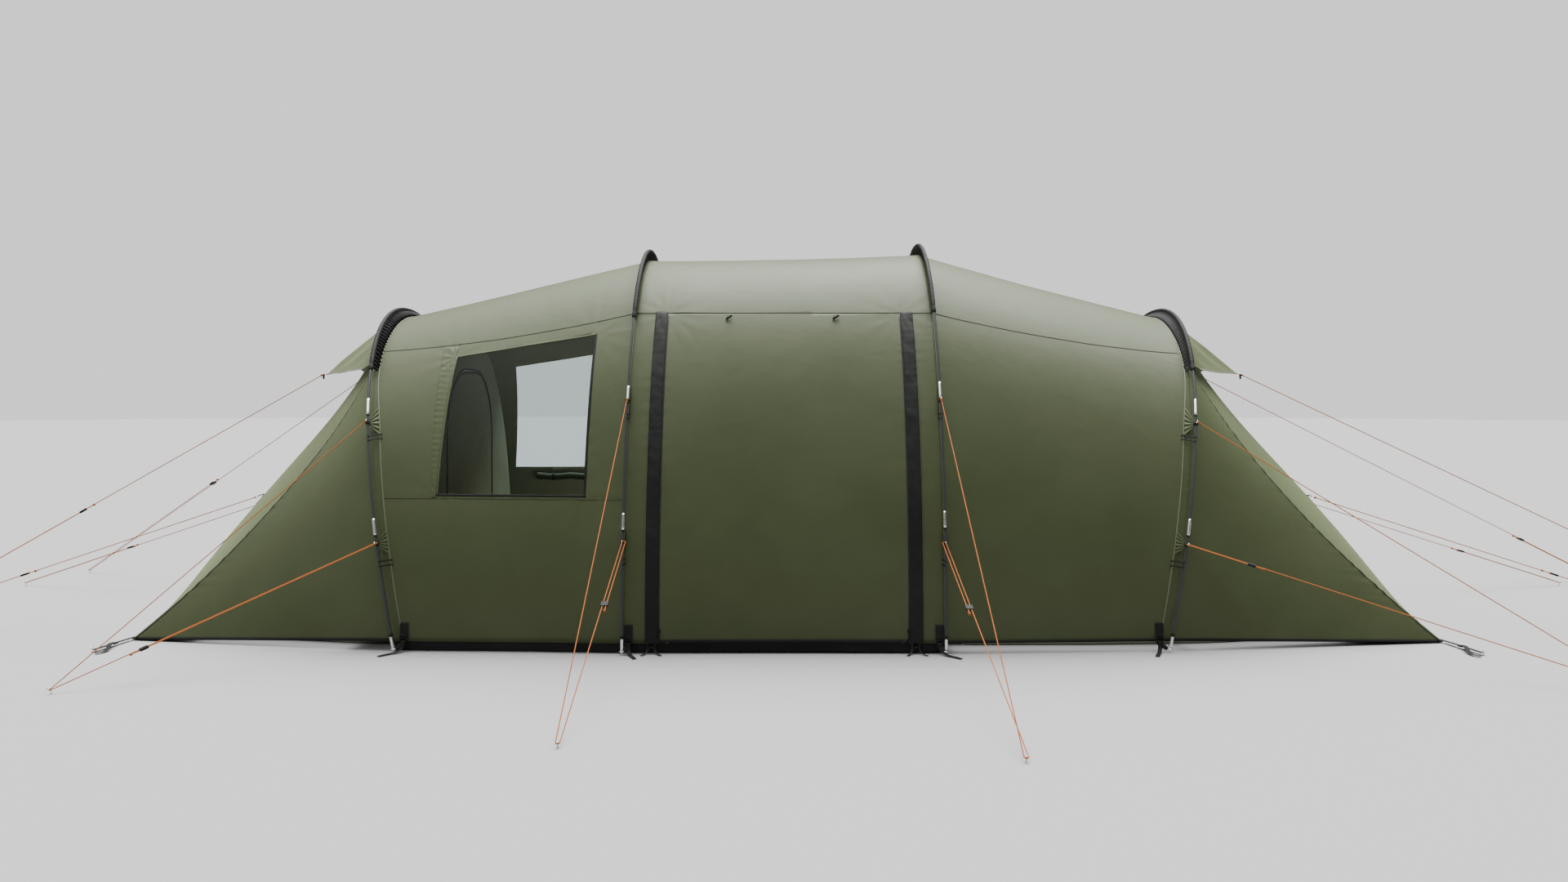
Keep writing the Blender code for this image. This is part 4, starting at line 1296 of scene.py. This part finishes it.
def make_hood(label, hoop, side):
    """Vent hood with its hem, corner tabs and toggles."""
    real = hood_surface(hoop, side)
    below = Vector((hoop.foot_x, 0, 0.3))
    shape = grid(120, 26, real, below)
    shares = [index / HOOD_STEPS for index in range(HOOD_STEPS + 1)]
    edge = [real(share, 1.0) for share in shares]
    normals = [normal_of(real, share, 0.97, below) for share in shares]
    hem = trim(f"hood_{label}_hem", [strap(edge, normals, *HEM_TAPE)], SEAM_TAPE)
    tabs, loops = [], []
    for y in (-1, 1):
        corner = HOOD_CORNER * Vector((1, -y, 1)) + Vector((hoop.top_x + side * HOOD_OUT, 0, 0))
        out = Vector((side * 0.8, y * 0.5, -0.15)).normalized()
        path = [corner - out * 0.035 + UP * 0.002, corner, corner + out * 0.014]
        tabs.append(strap(smooth_path(path, 8), [UP] * 9, 0.014, 0.0018))
        bar = facing_matrix(corner + out * 0.018, out, UP)
        loops.append(rounded_box((0.006, 0.020, 0.006), bar, 0.0014))
        loops.append(tube_shape([corner + out * 0.016, corner + out * 0.018 - UP * 0.022], 0.0045, 10))
    tab = trim(f"hood_{label}_tabs", tabs, WEBBING)
    toggles = trim(f"hood_{label}_toggles", loops, BLACK_PLASTIC)
    cloth(f"hood_{label}_cloth", shape, FLY, "tent", ["vent_hood_" + label])


# ---------------------------------------------------------------- poles, sleeves and tabs
POLE_STEPS = 180
FERRULE_RADIUS = 0.0072
JOINT_RADIUS = 0.0064
FOOT_PIN_RADIUS = 0.0032
COLLAR_RADIUS = 0.0078
CUFF_RADIUS = 0.0098
PIPING_RADIUS = 0.0032
FOOT_RING = 0.011
FOOT_RING_WIRE = 0.0017
TAB_LOOP = 0.0085
TAB_RING = 0.0062
END_RING = 0.0078
RING_WIRE = 0.0014
CURTAIN_TIE = 0.0245
FOOT_RING_HEIGHT = 0.018
WEB_THICKNESS = 0.0016
TAPE_THICKNESS = 0.0014
TAIL_THICKNESS = 0.0015
FOOT_STRAP_WIDTH = 0.036
TIP_STRAP_WIDTH = 0.020
TIP_STRAP_LENGTH = 0.26
TAIL_WIDTH = 0.018
WEB_WIDTH = 0.010
RIB_WIDTH = 0.008
CLIP_WIDTH = 0.006
PATCH_WIDTH = 0.060
HOOK_WIRE = 0.0026
HOOK_RADIUS = 0.011
BUCKLE_SIDE_BAR = (0.030, 0.004, 0.006)
BUCKLE_CROSS_BAR = (0.004, 0.026, 0.005)
BUCKLE_EDGE = 0.0014
BUCKLE_HALF_WIDTH = 0.0135
BUCKLE_STEPS = (-0.013, 0.0, 0.013)
GUSSET_PLEATS = 11
GUSSET_PLEAT_HEIGHT = 0.0030
GUSSET_THICKNESS = 0.0012
END_TAB_SPREAD = 0.62
SLEEVE_STEPS = 640
SLEEVE_TAPER = 14                        # steps over which each end narrows
SLEEVE_PLEAT = 0.027
SLEEVE_ROUND = 0.0105
FIN_HALF = 0.0022
EDGE_INSETS = ((0.0, 0.040), (0.60, 0.040), (0.80, 0.022), (1.0, 0.048))   # by share of the height
PLEATS = (0.0100, 0.0030, 0.0030, 0.0016)
NEIGHBOURS = ((LEFT, 0.0), (LEFT, 1.0), (RIGHT, 0.0), (RIGHT, 1.0))


def edge_inset(share):
    """Distance from an end hoop's pole in to the flysheet's rolled edge."""
    for (low, first), (high, last) in zip(EDGE_INSETS, EDGE_INSETS[1:]):
        if share <= high:
            ease = (share - low) / (high - low)
            return first + (last - first) * ease * ease * (3 - 2 * ease)
    return EDGE_INSETS[-1][1]


def edge_place(number, v, lift=0.0):
    """Point on the flysheet's rolled edge along a hoop, at share v from front to back."""
    surface, u = NEIGHBOURS[number - 1]
    if number in (1, 4):
        length = abs(surface.smooth(1, v).x - surface.smooth(0, v).x)
        u = abs(u - edge_inset(surface.smooth(u, v).z / HOOPS[number - 1].height) / length)
    return lifted(surface, u, v, lift)


def edge_at(number, z, back):
    v = height_share(NEIGHBOURS[number - 1][0], NEIGHBOURS[number - 1][1], z)
    return edge_place(number, 1 - v if back else v)


def leg_path(hoop, low, high, count, flip):
    """Points up one leg between two heights."""
    first, last = hoop_angle(hoop, low), hoop_angle(hoop, high)
    return [hoop_point(hoop, first + (last - first) * index / count) * flip for index in range(count + 1)]


def inner_side(hoop):
    """Sign of the way along the tent from a hoop to its middle."""
    return 1 if hoop.foot_x < 0 else -1


def chamfered(share):
    return 0.85 if share in (0.0, 1.0) else 1.0


def make_pole(number, hoop):
    """Rod, its metal ferrules and foot pins, the ring at each foot and plastic collars."""
    low = hoop_angle(hoop, 0.05)
    whole = [hoop_point(hoop, low + (math.pi - 2 * low) * index / POLE_STEPS)
             for index in range(POLE_STEPS + 1)]
    rod = trim(f"pole_{number}_rod", [tube_shape(whole, POLE_RADIUS, 12)], FIBREGLASS)
    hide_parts(f"hoop_pole_{number}")
    metal, black = [], []
    for flip in FLIPS:
        for share in hoop.ferrules:
            middle = share * hoop.height
            low, high = middle - FERRULE_LENGTH / 2, middle + FERRULE_LENGTH / 2
            metal.append(tube_shape(leg_path(hoop, low, high, 10, flip), FERRULE_RADIUS, 14, chamfered))
            joint = leg_path(hoop, low - 0.008, low + 0.001, 2, flip)
            black.append(tube_shape(joint, JOINT_RADIUS, 12))
        foot = leg_path(hoop, 0.022, FOOT_LENGTH, 8, flip)
        metal.append(tube_shape(foot, FERRULE_RADIUS, 14, chamfered))
        metal.append(tube_shape(leg_path(hoop, 0.0035, 0.024, 4, flip), FOOT_PIN_RADIUS, 10))
        ring = hoop_point(hoop, hoop_angle(hoop, FOOT_RING_HEIGHT)) * flip
        metal.append(tube_shape(circle(ring, ALONG, ACROSS, FOOT_RING, 24), FOOT_RING_WIRE, 8))
        collar = leg_path(hoop, FOOT_LENGTH - 0.004, FOOT_LENGTH + 0.010, 3, flip)
        black.append(tube_shape(collar, COLLAR_RADIUS, 12))
    trim(f"pole_{number}_ferrules", metal, BRIGHT_METAL)
    collars = add_mesh(f"pole_{number}_collars", join_shapes(black), BLACK_PLASTIC)
    on_body(collars, "tent")


def make_sleeve(number, hoop):
    """Black cloth round the pole, with a gathered fin down to the flysheet."""
    start = hoop_angle(hoop, SLEEVE_END_SHARE * hoop.height)
    hem = hoop_angle(hoop, HEM_LIFT, TOP_GAP)
    stations = []
    length = 0.0
    before = None
    for index in range(SLEEVE_STEPS + 1):
        angle = start + (math.pi - 2 * start) * index / SLEEVE_STEPS
        centre = hoop_point(hoop, angle)
        length += (centre - before).length if before else 0.0
        before = centre
        out = outward_of(hoop, angle)
        inward = edge_place(number, (angle - hem) / (math.pi - 2 * hem)) - centre
        ease = min(1.0, index / SLEEVE_TAPER, (SLEEVE_STEPS - index) / SLEEVE_TAPER)
        size = SLEEVE_ROUND * (0.72 + 0.28 * ease)
        drift = noise.noise(Vector((length * 8, number, 0.3))) * 3
        pleat = math.sin(2 * math.pi * length / SLEEVE_PLEAT + drift)
        rise = hoop_point(hoop, angle + 0.01) - hoop_point(hoop, angle - 0.01)
        square = inward.cross(rise).normalized()
        ring = []
        for step in range(9):
            turn = math.radians(-120 + 30 * step)
            pucker = 1 + 0.05 * pleat * abs(math.sin(turn))
            ring.append(centre + (out * math.cos(turn) + ALONG * math.sin(turn)) * size * pucker)
        shares = [0.45, 0.72, 0.96 * ease + 0.04]
        for half, order in ((FIN_HALF, shares), (-FIN_HALF, reversed(shares))):
            for share in order:
                sway = square * pleat * PLEATS[number - 1] * math.sin(math.pi * min(share, 0.95))
                ring.append(centre + inward * max(share, 0.34) + ALONG * half + sway)
        stations.append(ring)
    item = trim(f"sleeve_{number}", [sweep(stations)], BLACK_CLOTH)
    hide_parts(f"hoop_sleeve_{number}")
    cuffs = []
    for flip in FLIPS:
        level = SLEEVE_END_SHARE * hoop.height
        cuffs.append(tube_shape(leg_path(hoop, level - 0.016, level + 0.004, 4, flip), CUFF_RADIUS, 12))
    trim(f"sleeve_{number}_cuffs", cuffs, WEBBING)


def piping(number):
    """Rolled edge of the flysheet along a hoop."""
    points = [edge_place(number, index / 240) for index in range(241)]
    return tube_shape(points, PIPING_RADIUS, 8)


def gusset_shape(number, z, back, reach, apex_drop):
    """Pleated triangle of cloth from the flysheet's rolled edge out to the pole."""
    hoop = HOOPS[number - 1]
    flip = FLIPS[back]
    apex = hoop_point(hoop, hoop_angle(hoop, z)) * flip
    out = outward_of(hoop, hoop_angle(hoop, z)) * flip
    apex = apex - out * apex_drop

    def place(a, b):
        edge = edge_at(number, z + reach * (2 * a - 1), back)
        point = edge.lerp(apex + UP * 0.006 * (2 * a - 1), b)
        pleat = math.sin(a * math.pi * GUSSET_PLEATS) * GUSSET_PLEAT_HEIGHT * (1 - b) ** 0.5
        return point + out * (0.003 + pleat)

    shape = grid(6 * GUSSET_PLEATS, 8, place)
    bmesh.ops.solidify(shape, geom=shape.faces[:], thickness=GUSSET_THICKNESS)
    bmesh.ops.recalc_face_normals(shape, faces=shape.faces)
    return shape


def make_tabs(number, hoop, guy):
    """Guy tabs: gusset, webbing loop round the pole and a ring for the rope, and pole clips."""
    gussets, webs, rings = [], [], []
    inner = inner_side(hoop)
    for back, flip in enumerate(FLIPS):
        for z, reach in ((guy.upper_z, 0.065), (guy.lower_z, 0.050)):
            gussets.append(gusset_shape(number, z, back, reach, 0.006))
            angle = hoop_angle(hoop, z)
            out = outward_of(hoop, angle) * flip
            pole = hoop_point(hoop, angle) * flip
            tab = tab_point(hoop, z) * flip
            rise = (hoop_point(hoop, angle + 0.01) - hoop_point(hoop, angle - 0.01)).normalized() * flip
            loop = []
            for index in range(17):
                turn = math.radians(-160 + 320 * index / 16)
                loop.append(pole + (out * math.cos(turn) + ALONG * math.sin(turn)) * TAB_LOOP)
            normals = [(point - pole).normalized() for point in loop]
            webs.append(strap(loop, normals, 0.014, WEB_THICKNESS))
            path = smooth_path([pole + out * 0.009, pole + out * 0.014, tab - out * 0.002], 6)
            webs.append(strap(path, [ALONG] * 7, 0.011, WEB_THICKNESS))
            rings.append(tube_shape(circle(tab, out, rise, TAB_RING, 20), RING_WIRE, 8))
        for z in (guy.lower_z - 0.075, guy.lower_z - 0.095, guy.upper_z - 0.060, guy.upper_z - 0.078):
            pole = hoop_point(hoop, hoop_angle(hoop, z)) * flip
            edge = edge_at(number, z, back)
            out = outward_of(hoop, hoop_angle(hoop, z)) * flip
            path = smooth_path([edge + Vector((inner * 0.012, 0, 0)) + out * 0.004,
                                edge + Vector((inner * 0.002, 0, 0)) + out * 0.006,
                                pole + Vector((inner * 0.006, 0, 0)) + out * 0.004,
                                pole + out * 0.0068], 14)
            webs.append(strap(path, [out] * 15, CLIP_WIDTH, TAPE_THICKNESS))
    trim(f"guy_gussets_{number}", gussets, FLY)
    trim(f"guy_webs_{number}", webs, WEBBING)
    trim(f"guy_rings_{number}", rings, BRIGHT_METAL)


def buckle_shapes(place, along, out):
    """A ladder buckle: two side bars and three cross bars."""
    turn = facing_matrix(place, along, out)
    shapes = []
    for side in (-1, 1):
        place = turn @ Matrix.Translation((0, side * BUCKLE_HALF_WIDTH, 0))
        shapes.append(rounded_box(BUCKLE_SIDE_BAR, place, BUCKLE_EDGE))
    for shift in BUCKLE_STEPS:
        place = turn @ Matrix.Translation((shift, 0, 0.001))
        shapes.append(rounded_box(BUCKLE_CROSS_BAR, place, BUCKLE_EDGE))
    return shapes


def make_foot_straps():
    """Wide straps with ladder buckles from the hem down to each pole foot, with loose tails."""
    webs, buckles = [], []
    for number, hoop in enumerate(HOOPS):
        inner = inner_side(hoop)
        surface = (LEFT, MIDDLE, MIDDLE, RIGHT)[number]
        for flip, sign in zip(FLIPS, (-1, 1)):
            foot = hoop_point(hoop, hoop_angle(hoop, FOOT_RING_HEIGHT)) * flip
            x = hoop.foot_x + inner * (0.035 if number in (0, 3) else 0.024)
            top = side_place(surface, x, 0.125, sign > 0, 0.003)
            hem = side_place(surface, x, 0.062, sign > 0, 0.006)
            out = Vector((0, sign, 0))
            ring = foot + Vector((inner * 0.012, 0, 0)) + out * 0.001
            path = smooth_path([top, (top + hem) / 2 + out * 0.001, hem + out * 0.004,
                                Vector((x, hem.y, 0.040)) + out * 0.007, ring], 26)
            webs.append(strap(path, [out] * 27, FOOT_STRAP_WIDTH, WEB_THICKNESS,
                              lambda share: 1 - 0.6 * share ** 3))
            for edge in (-0.013, 0.013):
                line = [point + Vector((edge, 0, 0)) + out * 0.0014 for point in path[:18]]
                webs.append(strap(line, [out] * 18, RIB_WIDTH, TAPE_THICKNESS))
            buckles += buckle_shapes(hem + out * 0.010, UP, out)
            start = hem + out * 0.012 - UP * 0.012
            sway = inner * (0.030 if number % 2 else -0.060)
            tail = smooth_path([start, start + out * 0.006 - UP * 0.030 + Vector((sway * 0.1, 0, 0)),
                                Vector((start.x + sway * 0.45, start.y + sign * 0.030, 0.006)),
                                Vector((start.x + sway, start.y + sign * 0.065, 0.0035)),
                                Vector((start.x + sway * 1.3, start.y + sign * 0.090, 0.0025))], 24)
            normals = [out.lerp(UP, min(1.0, index / 12)).normalized() for index in range(25)]
            webs.append(strap(tail, normals, TAIL_WIDTH, TAIL_THICKNESS))
    trim("foot_straps", webs, WEBBING)
    trim("foot_buckles", buckles, BLACK_PLASTIC)


def make_tip_straps():
    """Straps from the four ground corners out to their pegs, with loose tails."""
    webs, buckles, pegs = [], [], []
    for side in (-1, 1):
        for sign in (-1, 1):
            corner = Vector((side * TIP_X, sign * TIP_Y[side], 0.012))
            out = Vector((side * 0.12, sign * 1.0, 0)).normalized()
            back_in = corner - out * 0.02 + Vector((-side * 0.05, 0, 0.018))
            end = Vector((corner.x, corner.y, 0.010)) + out * TIP_STRAP_LENGTH
            path = smooth_path([back_in, corner, corner + out * 0.10, end], 20)
            webs.append(strap(path, [UP] * 21, TIP_STRAP_WIDTH, WEB_THICKNESS))
            buckle = corner + out * 0.13 + UP * 0.001
            buckles += buckle_shapes(buckle, out, UP)
            bow = Vector((-out.y, out.x, 0)) * side * sign
            tail = smooth_path([buckle + UP * 0.004, buckle + out * 0.05 + bow * 0.022 + UP * 0.006,
                                buckle + out * 0.12 + bow * 0.050 - UP * 0.006,
                                buckle + out * 0.17 + bow * 0.040 - UP * 0.008], 18)
            webs.append(strap(tail, [UP] * 19, TAIL_WIDTH, TAIL_THICKNESS))
            pegs.append(peg_shape(end + out * 0.002, out))
    trim("tip_straps", webs, WEBBING)
    trim("tip_buckles", buckles, BLACK_PLASTIC)
    trim("tip_pegs", pegs, BRIGHT_METAL)


def make_door_feet():
    """Short straps and plastic hooks at the ground ends of the doors' zips."""
    webs, hooks = [], []
    for sign in (-1, 1):
        for side in (-1, 1):
            x = side * (DOOR_HALF_WIDTH + FLAP_WIDTH / 2)
            y = sign * abs(MIDDLE.smooth(0.5, 0.0).y)
            out = Vector((0, sign, 0))
            for shift, turn in ((-0.018, -0.5), (0.014, 0.6)):
                start = Vector((x + shift, y, 0.050)) + out * 0.008
                path = smooth_path([start, start - UP * 0.030 + out * 0.004,
                                    start - UP * 0.044 + out * 0.020 + Vector((turn * 0.02, 0, 0)),
                                    start - UP * 0.0465 + out * 0.045 + Vector((turn * 0.05, 0, 0))], 16)
                normals = [out.lerp(UP, min(1.0, index / 8)).normalized() for index in range(17)]
                webs.append(strap(path, normals, WEB_WIDTH, TAPE_THICKNESS))
            hook = Vector((x, y, 0.020)) + out * 0.014
            turns = [math.radians(-150 + 300 * index / 20) for index in range(21)]
            curve = [hook + (ALONG * math.sin(turn) + UP * math.cos(turn)) * HOOK_RADIUS for turn in turns]
            hooks.append(tube_shape(curve, HOOK_WIRE, 8))
    trim("door_foot_straps", webs, WEBBING)
    trim("door_foot_hooks", hooks, BLACK_PLASTIC)


def make_end_tabs():
    """Patch, webbing and ring on each end panel, where its two guy ropes start."""
    patches, webs, rings = [], [], []
    for guy in END_GUYS[4:]:
        side = math.copysign(1, guy.start[0])
        surface = END_LEFT if side < 0 else END_RIGHT
        start = Vector(guy.start)
        w = 0.5 - guy.start[1] / (2 * TIP_Y[1]) * END_TAB_SPREAD
        u = SIDE_SHARE + (1 - 2 * SIDE_SHARE) * w
        best = min(((surface.real(u + du * 0.01, v * 0.01) - start).length, u + du * 0.01, v * 0.01)
                   for du in range(-14, 15) for v in range(30, 80))
        _, u, v = best
        normal = normal_of(surface.smooth, u, v, surface.inside)
        base = surface.real(u, v)
        down = (surface.real(u, v - 0.03) - base).normalized()
        corners = [base + down * 0.055, base + down * 0.02, base]
        path = smooth_path([point + normal * 0.001 for point in corners], 8)
        patches.append(strap(path, [normal] * 9, PATCH_WIDTH, WEB_THICKNESS,
                             lambda share: 1.0 - 0.75 * share))
        web = smooth_path([base + normal * 0.002 + down * 0.02, base + normal * 0.006, start], 10)
        webs.append(strap(web, [UP] * 11, WEB_WIDTH, WEB_THICKNESS))
        away = (Vector((*guy.peg, 0)) - start).normalized()
        lateral = level_normal(away)
        centre = start + away * 0.002
        rings.append(tube_shape(circle(centre, away, lateral, END_RING, 20), RING_WIRE, 8))
    trim("end_tab_patches", patches, SEAM_TAPE)
    trim("end_tab_webs", webs, WEBBING)
    trim("end_tab_rings", rings, BRIGHT_METAL)


# ---------------------------------------------------------------- inside
BEDROOM_TAPER = ((1.90, 0.94, 1.35), (2.30, 0.86, 0.84), (2.66, 0.80, 0.36), (2.82, 0.76, 0.12))
BEDROOM_STATIONS = {
    -1: ((1.64, 0.96, 1.428),) + BEDROOM_TAPER,
    1: ((0.80, 0.98, 1.68), (1.35, 0.98, 1.54)) + BEDROOM_TAPER,
}
BEDROOM_LIFT = 0.004
BEDROOM_INSET = 0.006
INNER_THICKNESS = 0.0008
GROUND_THICKNESS = 0.0012
DOORWAY_STEPS = 160
DOORWAY_ZIP = ((-0.0022, -0.007), (-0.0022, 0.007), (0.0022, 0.007), (0.0022, -0.007))
WALL_CENTRE = 0.45                       # height that a wall's rays start from
GROUNDSHEET_HALF = 0.965
CURTAIN_STEPS = 24
CURTAIN_TURNS = 7
CURTAIN_LENGTH = 0.60
CURTAIN_HEIGHT = 0.630
BEDROOM_DOOR = {"half": 0.45, "bottom": 0.12, "top": 1.24, "corner": 0.35}


def arch_point(half_width, height, angle):
    """Point (y, z) on a bedroom's arch."""
    cosine = math.cos(angle)
    y = -half_width * math.copysign(abs(cosine) ** HOOP_ROUNDNESS, cosine)
    return y, BEDROOM_LIFT + height * max(math.sin(angle), 0.0) ** HOOP_ROUNDNESS


def bedroom_size(side, share):
    """X, half width and height of a bedroom at a share of its length."""
    stations = BEDROOM_STATIONS[side]
    x = stations[0][0] + (stations[-1][0] - stations[0][0]) * share
    for first, last in zip(stations, stations[1:]):
        if x <= last[0] + 1e-6:
            part = (x - first[0]) / (last[0] - first[0])
            return x, first[1] + (last[1] - first[1]) * part, first[2] + (last[2] - first[2]) * part
    return stations[-1]


def doorway_point(share):
    """Point (y, z) round a doorway: up the front side, over the top, down and back along the floor."""
    half, low, top, radius = (BEDROOM_DOOR[key] for key in ("half", "bottom", "top", "corner"))
    straight = top - radius - low
    arc = math.pi / 2 * radius
    flat = 2 * (half - radius)
    parts = (straight, arc, flat, arc, straight, 2 * half)
    place = (share % 1.0) * sum(parts)
    if place < parts[0]:
        return -half, low + place
    place -= parts[0]
    if place < parts[1]:
        turn = place / radius
        return -half + radius - radius * math.cos(turn), top - radius + radius * math.sin(turn)
    place -= parts[1]
    if place < parts[2]:
        return -half + radius + place, top
    place -= parts[2]
    if place < parts[3]:
        turn = place / radius
        return half - radius + radius * math.sin(turn), top - radius + radius * math.cos(turn)
    place -= parts[3]
    if place < parts[4]:
        return half, top - radius - place
    return half - (place - parts[4]), low


def wall_point(share, half_width, height):
    """Point (y, z) round a bedroom's front wall, in step with the doorway."""
    y, z = doorway_point(share)
    angle = math.atan2(z - WALL_CENTRE, -y)
    ray = Vector((-math.cos(angle), math.sin(angle)))
    low, high = 0.0, 3.0
    for _ in range(HALVINGS):
        middle = (low + high) / 2
        a, b = ray * middle + Vector((0, WALL_CENTRE))
        across = (abs(a) / half_width) ** (2 / HOOP_ROUNDNESS)
        upward = (max(b - BEDROOM_LIFT, 0) / height) ** (2 / HOOP_ROUNDNESS)
        if b > BEDROOM_LIFT and across + upward < 1:
            low = middle
        else:
            high = middle
    return tuple(ray * low + Vector((0, WALL_CENTRE)))


CREASE_CENTRES = ((-0.38, 0.92), (0.31, 0.91), (-0.10, 0.45))


def creases(y, z, side):
    """Star-shaped packing creases round a few places of a bedroom's front."""
    relief = 0.003 * noise.noise(Vector((y * 6, z * 6, side * 5.0)))
    for number, (centre_y, centre_z) in enumerate(CREASE_CENTRES):
        reach = math.dist((y, z), (centre_y, centre_z))
        turn = math.atan2(z - centre_z, y - centre_y)
        fan = math.sin(turn * 7 + number + 2.5 * noise.noise(Vector((turn, reach * 4, number))))
        relief += 0.0055 * fan * math.exp(-reach / 0.16) * min(1.0, reach / 0.05)
    return relief


def doorway_zip(side, front):
    """Zip coil round a bedroom's doorway, as a closed band."""
    count = DOORWAY_STEPS
    outline = [Vector((side * front, *doorway_point(index / count))) for index in range(count)]
    stations = []
    for index, point in enumerate(outline):
        along = (outline[(index + 1) % count] - outline[index - 1]).normalized()
        across = along.cross(ALONG).normalized()
        stations.append([point + across * dy + ALONG * dx for dx, dy in DOORWAY_ZIP])
    return sweep(stations, closed=True)


def make_bedroom(label, side):
    """Sleeping cabin of thin cloth: its walls, floor, front wall and the zip round its door."""
    front, half_width, height = BEDROOM_STATIONS[side][0]

    def shell(u, v):
        x, half, top = bedroom_size(side, u)
        y, z = arch_point(half, top, math.pi * v)
        sag = 0.012 * noise.noise(Vector((x * 2.2, v * 5, side * 4.0))) * math.sin(math.pi * v)
        crease = 0.004 * noise.noise(Vector((x * 7, v * 16, side * 9.0)))
        scale = 1 - BEDROOM_INSET - abs(sag + crease) / max(half, 0.3)
        return Vector((side * x, y * scale, BEDROOM_LIFT + (z - BEDROOM_LIFT) * scale))

    walls = grid(60, 110, shell, Vector((side * 2.0, 0, 0.1)))

    def floor_place(u, v):
        x, half, _ = bedroom_size(side, u)
        y = half * 0.985 * (2 * v - 1)
        return Vector((side * x, y, BEDROOM_LIFT + 0.001 + 0.003 * noise.noise(Vector((x * 4, y * 4, 2.0)))))

    floor = grid(40, 40, floor_place, Vector((side * 2.0, 0, -1)))

    def wall(u, v):
        y0, z0 = doorway_point(u)
        y1, z1 = wall_point(u, half_width * 0.99, height * 0.99)
        y, z = y0 + (y1 - y0) * v, z0 + (z1 - z0) * v
        swell = 0.010 * math.sin(math.pi * v) * noise.noise(Vector((y * 3, z * 3, side * 6.0)))
        wander = 3 * noise.noise(Vector((y * 4, z * 4, 1.0)))
        folds = 0.004 * math.sin(v * math.pi) * math.sin(u * 75 + wander)
        relief = swell + folds * math.exp(-v * 3) + creases(y, z, side) * math.sin(math.pi * v)
        return Vector((side * (front + relief), y, max(z, BEDROOM_LIFT)))

    face = grid(200, 14, wall, Vector((side * 2.4, 0, 0.4)))
    zip_band = add_mesh(f"bedroom_{label}_zip", doorway_zip(side, front), ZIP_COIL)
    on_body(zip_band, "tent")
    cloth(f"bedroom_{label}_cloth", walls, INNER, "tent",
          ["bedroom_" + label], INNER_THICKNESS)
    cloth(f"bedroom_{label}_floor", floor, GROUND, "tent", (),
          GROUND_THICKNESS)
    cloth(f"bedroom_{label}_wall", face, INNER, "tent", (),
          INNER_THICKNESS)
    make_bedroom_door(label, side, front)


def make_bedroom_door(label, side, front):
    """Closed door of a bedroom, a creased panel within its zip."""
    def place(u, v):
        y0, z0 = doorway_point(u)
        centre = Vector((0, 0.62))
        y, z = centre.lerp(Vector((y0, z0)), v * 0.982)
        wave = 0.006 * noise.noise(Vector((y * 4, z * 3, side * 3.0)))
        relief = wave + creases(y, z, side)
        return Vector((side * (front + relief * (1 - v ** 6) + 0.001), y, z))

    shape = grid(160, 40, place, Vector((side * 2.4, 0, 0.4)))
    cloth(f"bedroom_{label}_door_cloth", shape, INNER, "bedroom_door_" + label,
          ["bedroom_door_" + label], INNER_THICKNESS)


def make_groundsheet():
    """Sheet on the ground between the two bedrooms."""
    left = 0.01 - BEDROOM_STATIONS[-1][0][0]
    right = BEDROOM_STATIONS[1][0][0] - 0.01

    def place(u, v):
        x = left + (right - left) * u
        y = GROUNDSHEET_HALF * (2 * v - 1)
        return Vector((x, y, 0.0025 + 0.0015 * noise.noise(Vector((x * 5, y * 5, 7.0)))))

    shape = grid(80, 70, place)
    cloth("groundsheet_cloth", shape, GROUND, "tent", ["groundsheet"],
          GROUND_THICKNESS)


def make_curtains():
    """Window curtains, rolled up and tied below each window on the inside."""
    for place, back in PLACES:
        line = []
        for index in range(CURTAIN_STEPS + 1):
            x = WINDOW_LEFT["front"] + 0.02 + CURTAIN_LENGTH * index / CURTAIN_STEPS
            line.append(side_place(LEFT, x, CURTAIN_HEIGHT, back, -0.034))
        out = outward_side(back)

        def coil(u, v):
            spot = u * CURTAIN_STEPS
            first = min(int(spot), CURTAIN_STEPS - 1)
            centre = line[first].lerp(line[first + 1], spot - first)
            angle = 2 * math.pi * CURTAIN_TURNS * v
            size = 0.0045 + 0.0165 * v + 0.0020 * v * noise.noise(Vector((u * 14, v * 3, 5.0)))
            droop = 0.006 * math.sin(math.pi * u * 3) ** 2
            return centre + (out * math.cos(angle) + UP * math.sin(angle)) * size - UP * droop

        shape = grid(2 * CURTAIN_STEPS, 20 * CURTAIN_TURNS, coil)
        ties = []
        for share in (0.2, 0.8):
            centre = line[int(CURTAIN_STEPS * share)] - UP * 0.003
            ring = circle(centre, out, UP, CURTAIN_TIE, 24)
            ties.append(strap(ring, [(point - centre).normalized() for point in ring], 0.012, 0.0014))
        tie = trim("curtain_ties_" + place, ties, WEBBING)
        # the roll takes the dark seam cloth: its dark colour is painted shade, not the curtain's own colour
        cloth("curtain_roll_" + place, shape, SEAM_THREAD_AND_CURTAIN_SHADE, "tent",
              (), 0.0006)


# ---------------------------------------------------------------- the scene
def make_shell():
    """Flysheet with its ends, skirts and hoods."""
    make_left_section()
    make_middle_section()
    make_right_section()
    make_end("left", END_LEFT)
    make_end("right", END_RIGHT)
    for place, back in PLACES:
        make_skirt("skirt_left_" + place, LEFT, back)
        make_skirt("skirt_middle_" + place, MIDDLE, back)
    make_hood("left", HOOPS[0], -1)
    make_hood("right", HOOPS[3], 1)


def make_hoops():
    """Everything that repeats at each of the four hoops."""
    for number, (hoop, guy) in enumerate(zip(HOOPS, HOOP_GUYS), start=1):
        make_pole(number, hoop)
        make_sleeve(number, hoop)
        make_tabs(number, hoop, guy)
        trim(f"fly_piping_{number}", [piping(number)], SEAM_TAPE)


make_camera()
make_stage()
make_world()
make_lights()
make_ropes()
make_shell()
make_hoops()
make_foot_straps()
make_tip_straps()
make_door_feet()
make_end_tabs()
make_bedroom("left", -1)
make_bedroom("right", 1)
make_groundsheet()
make_curtains()
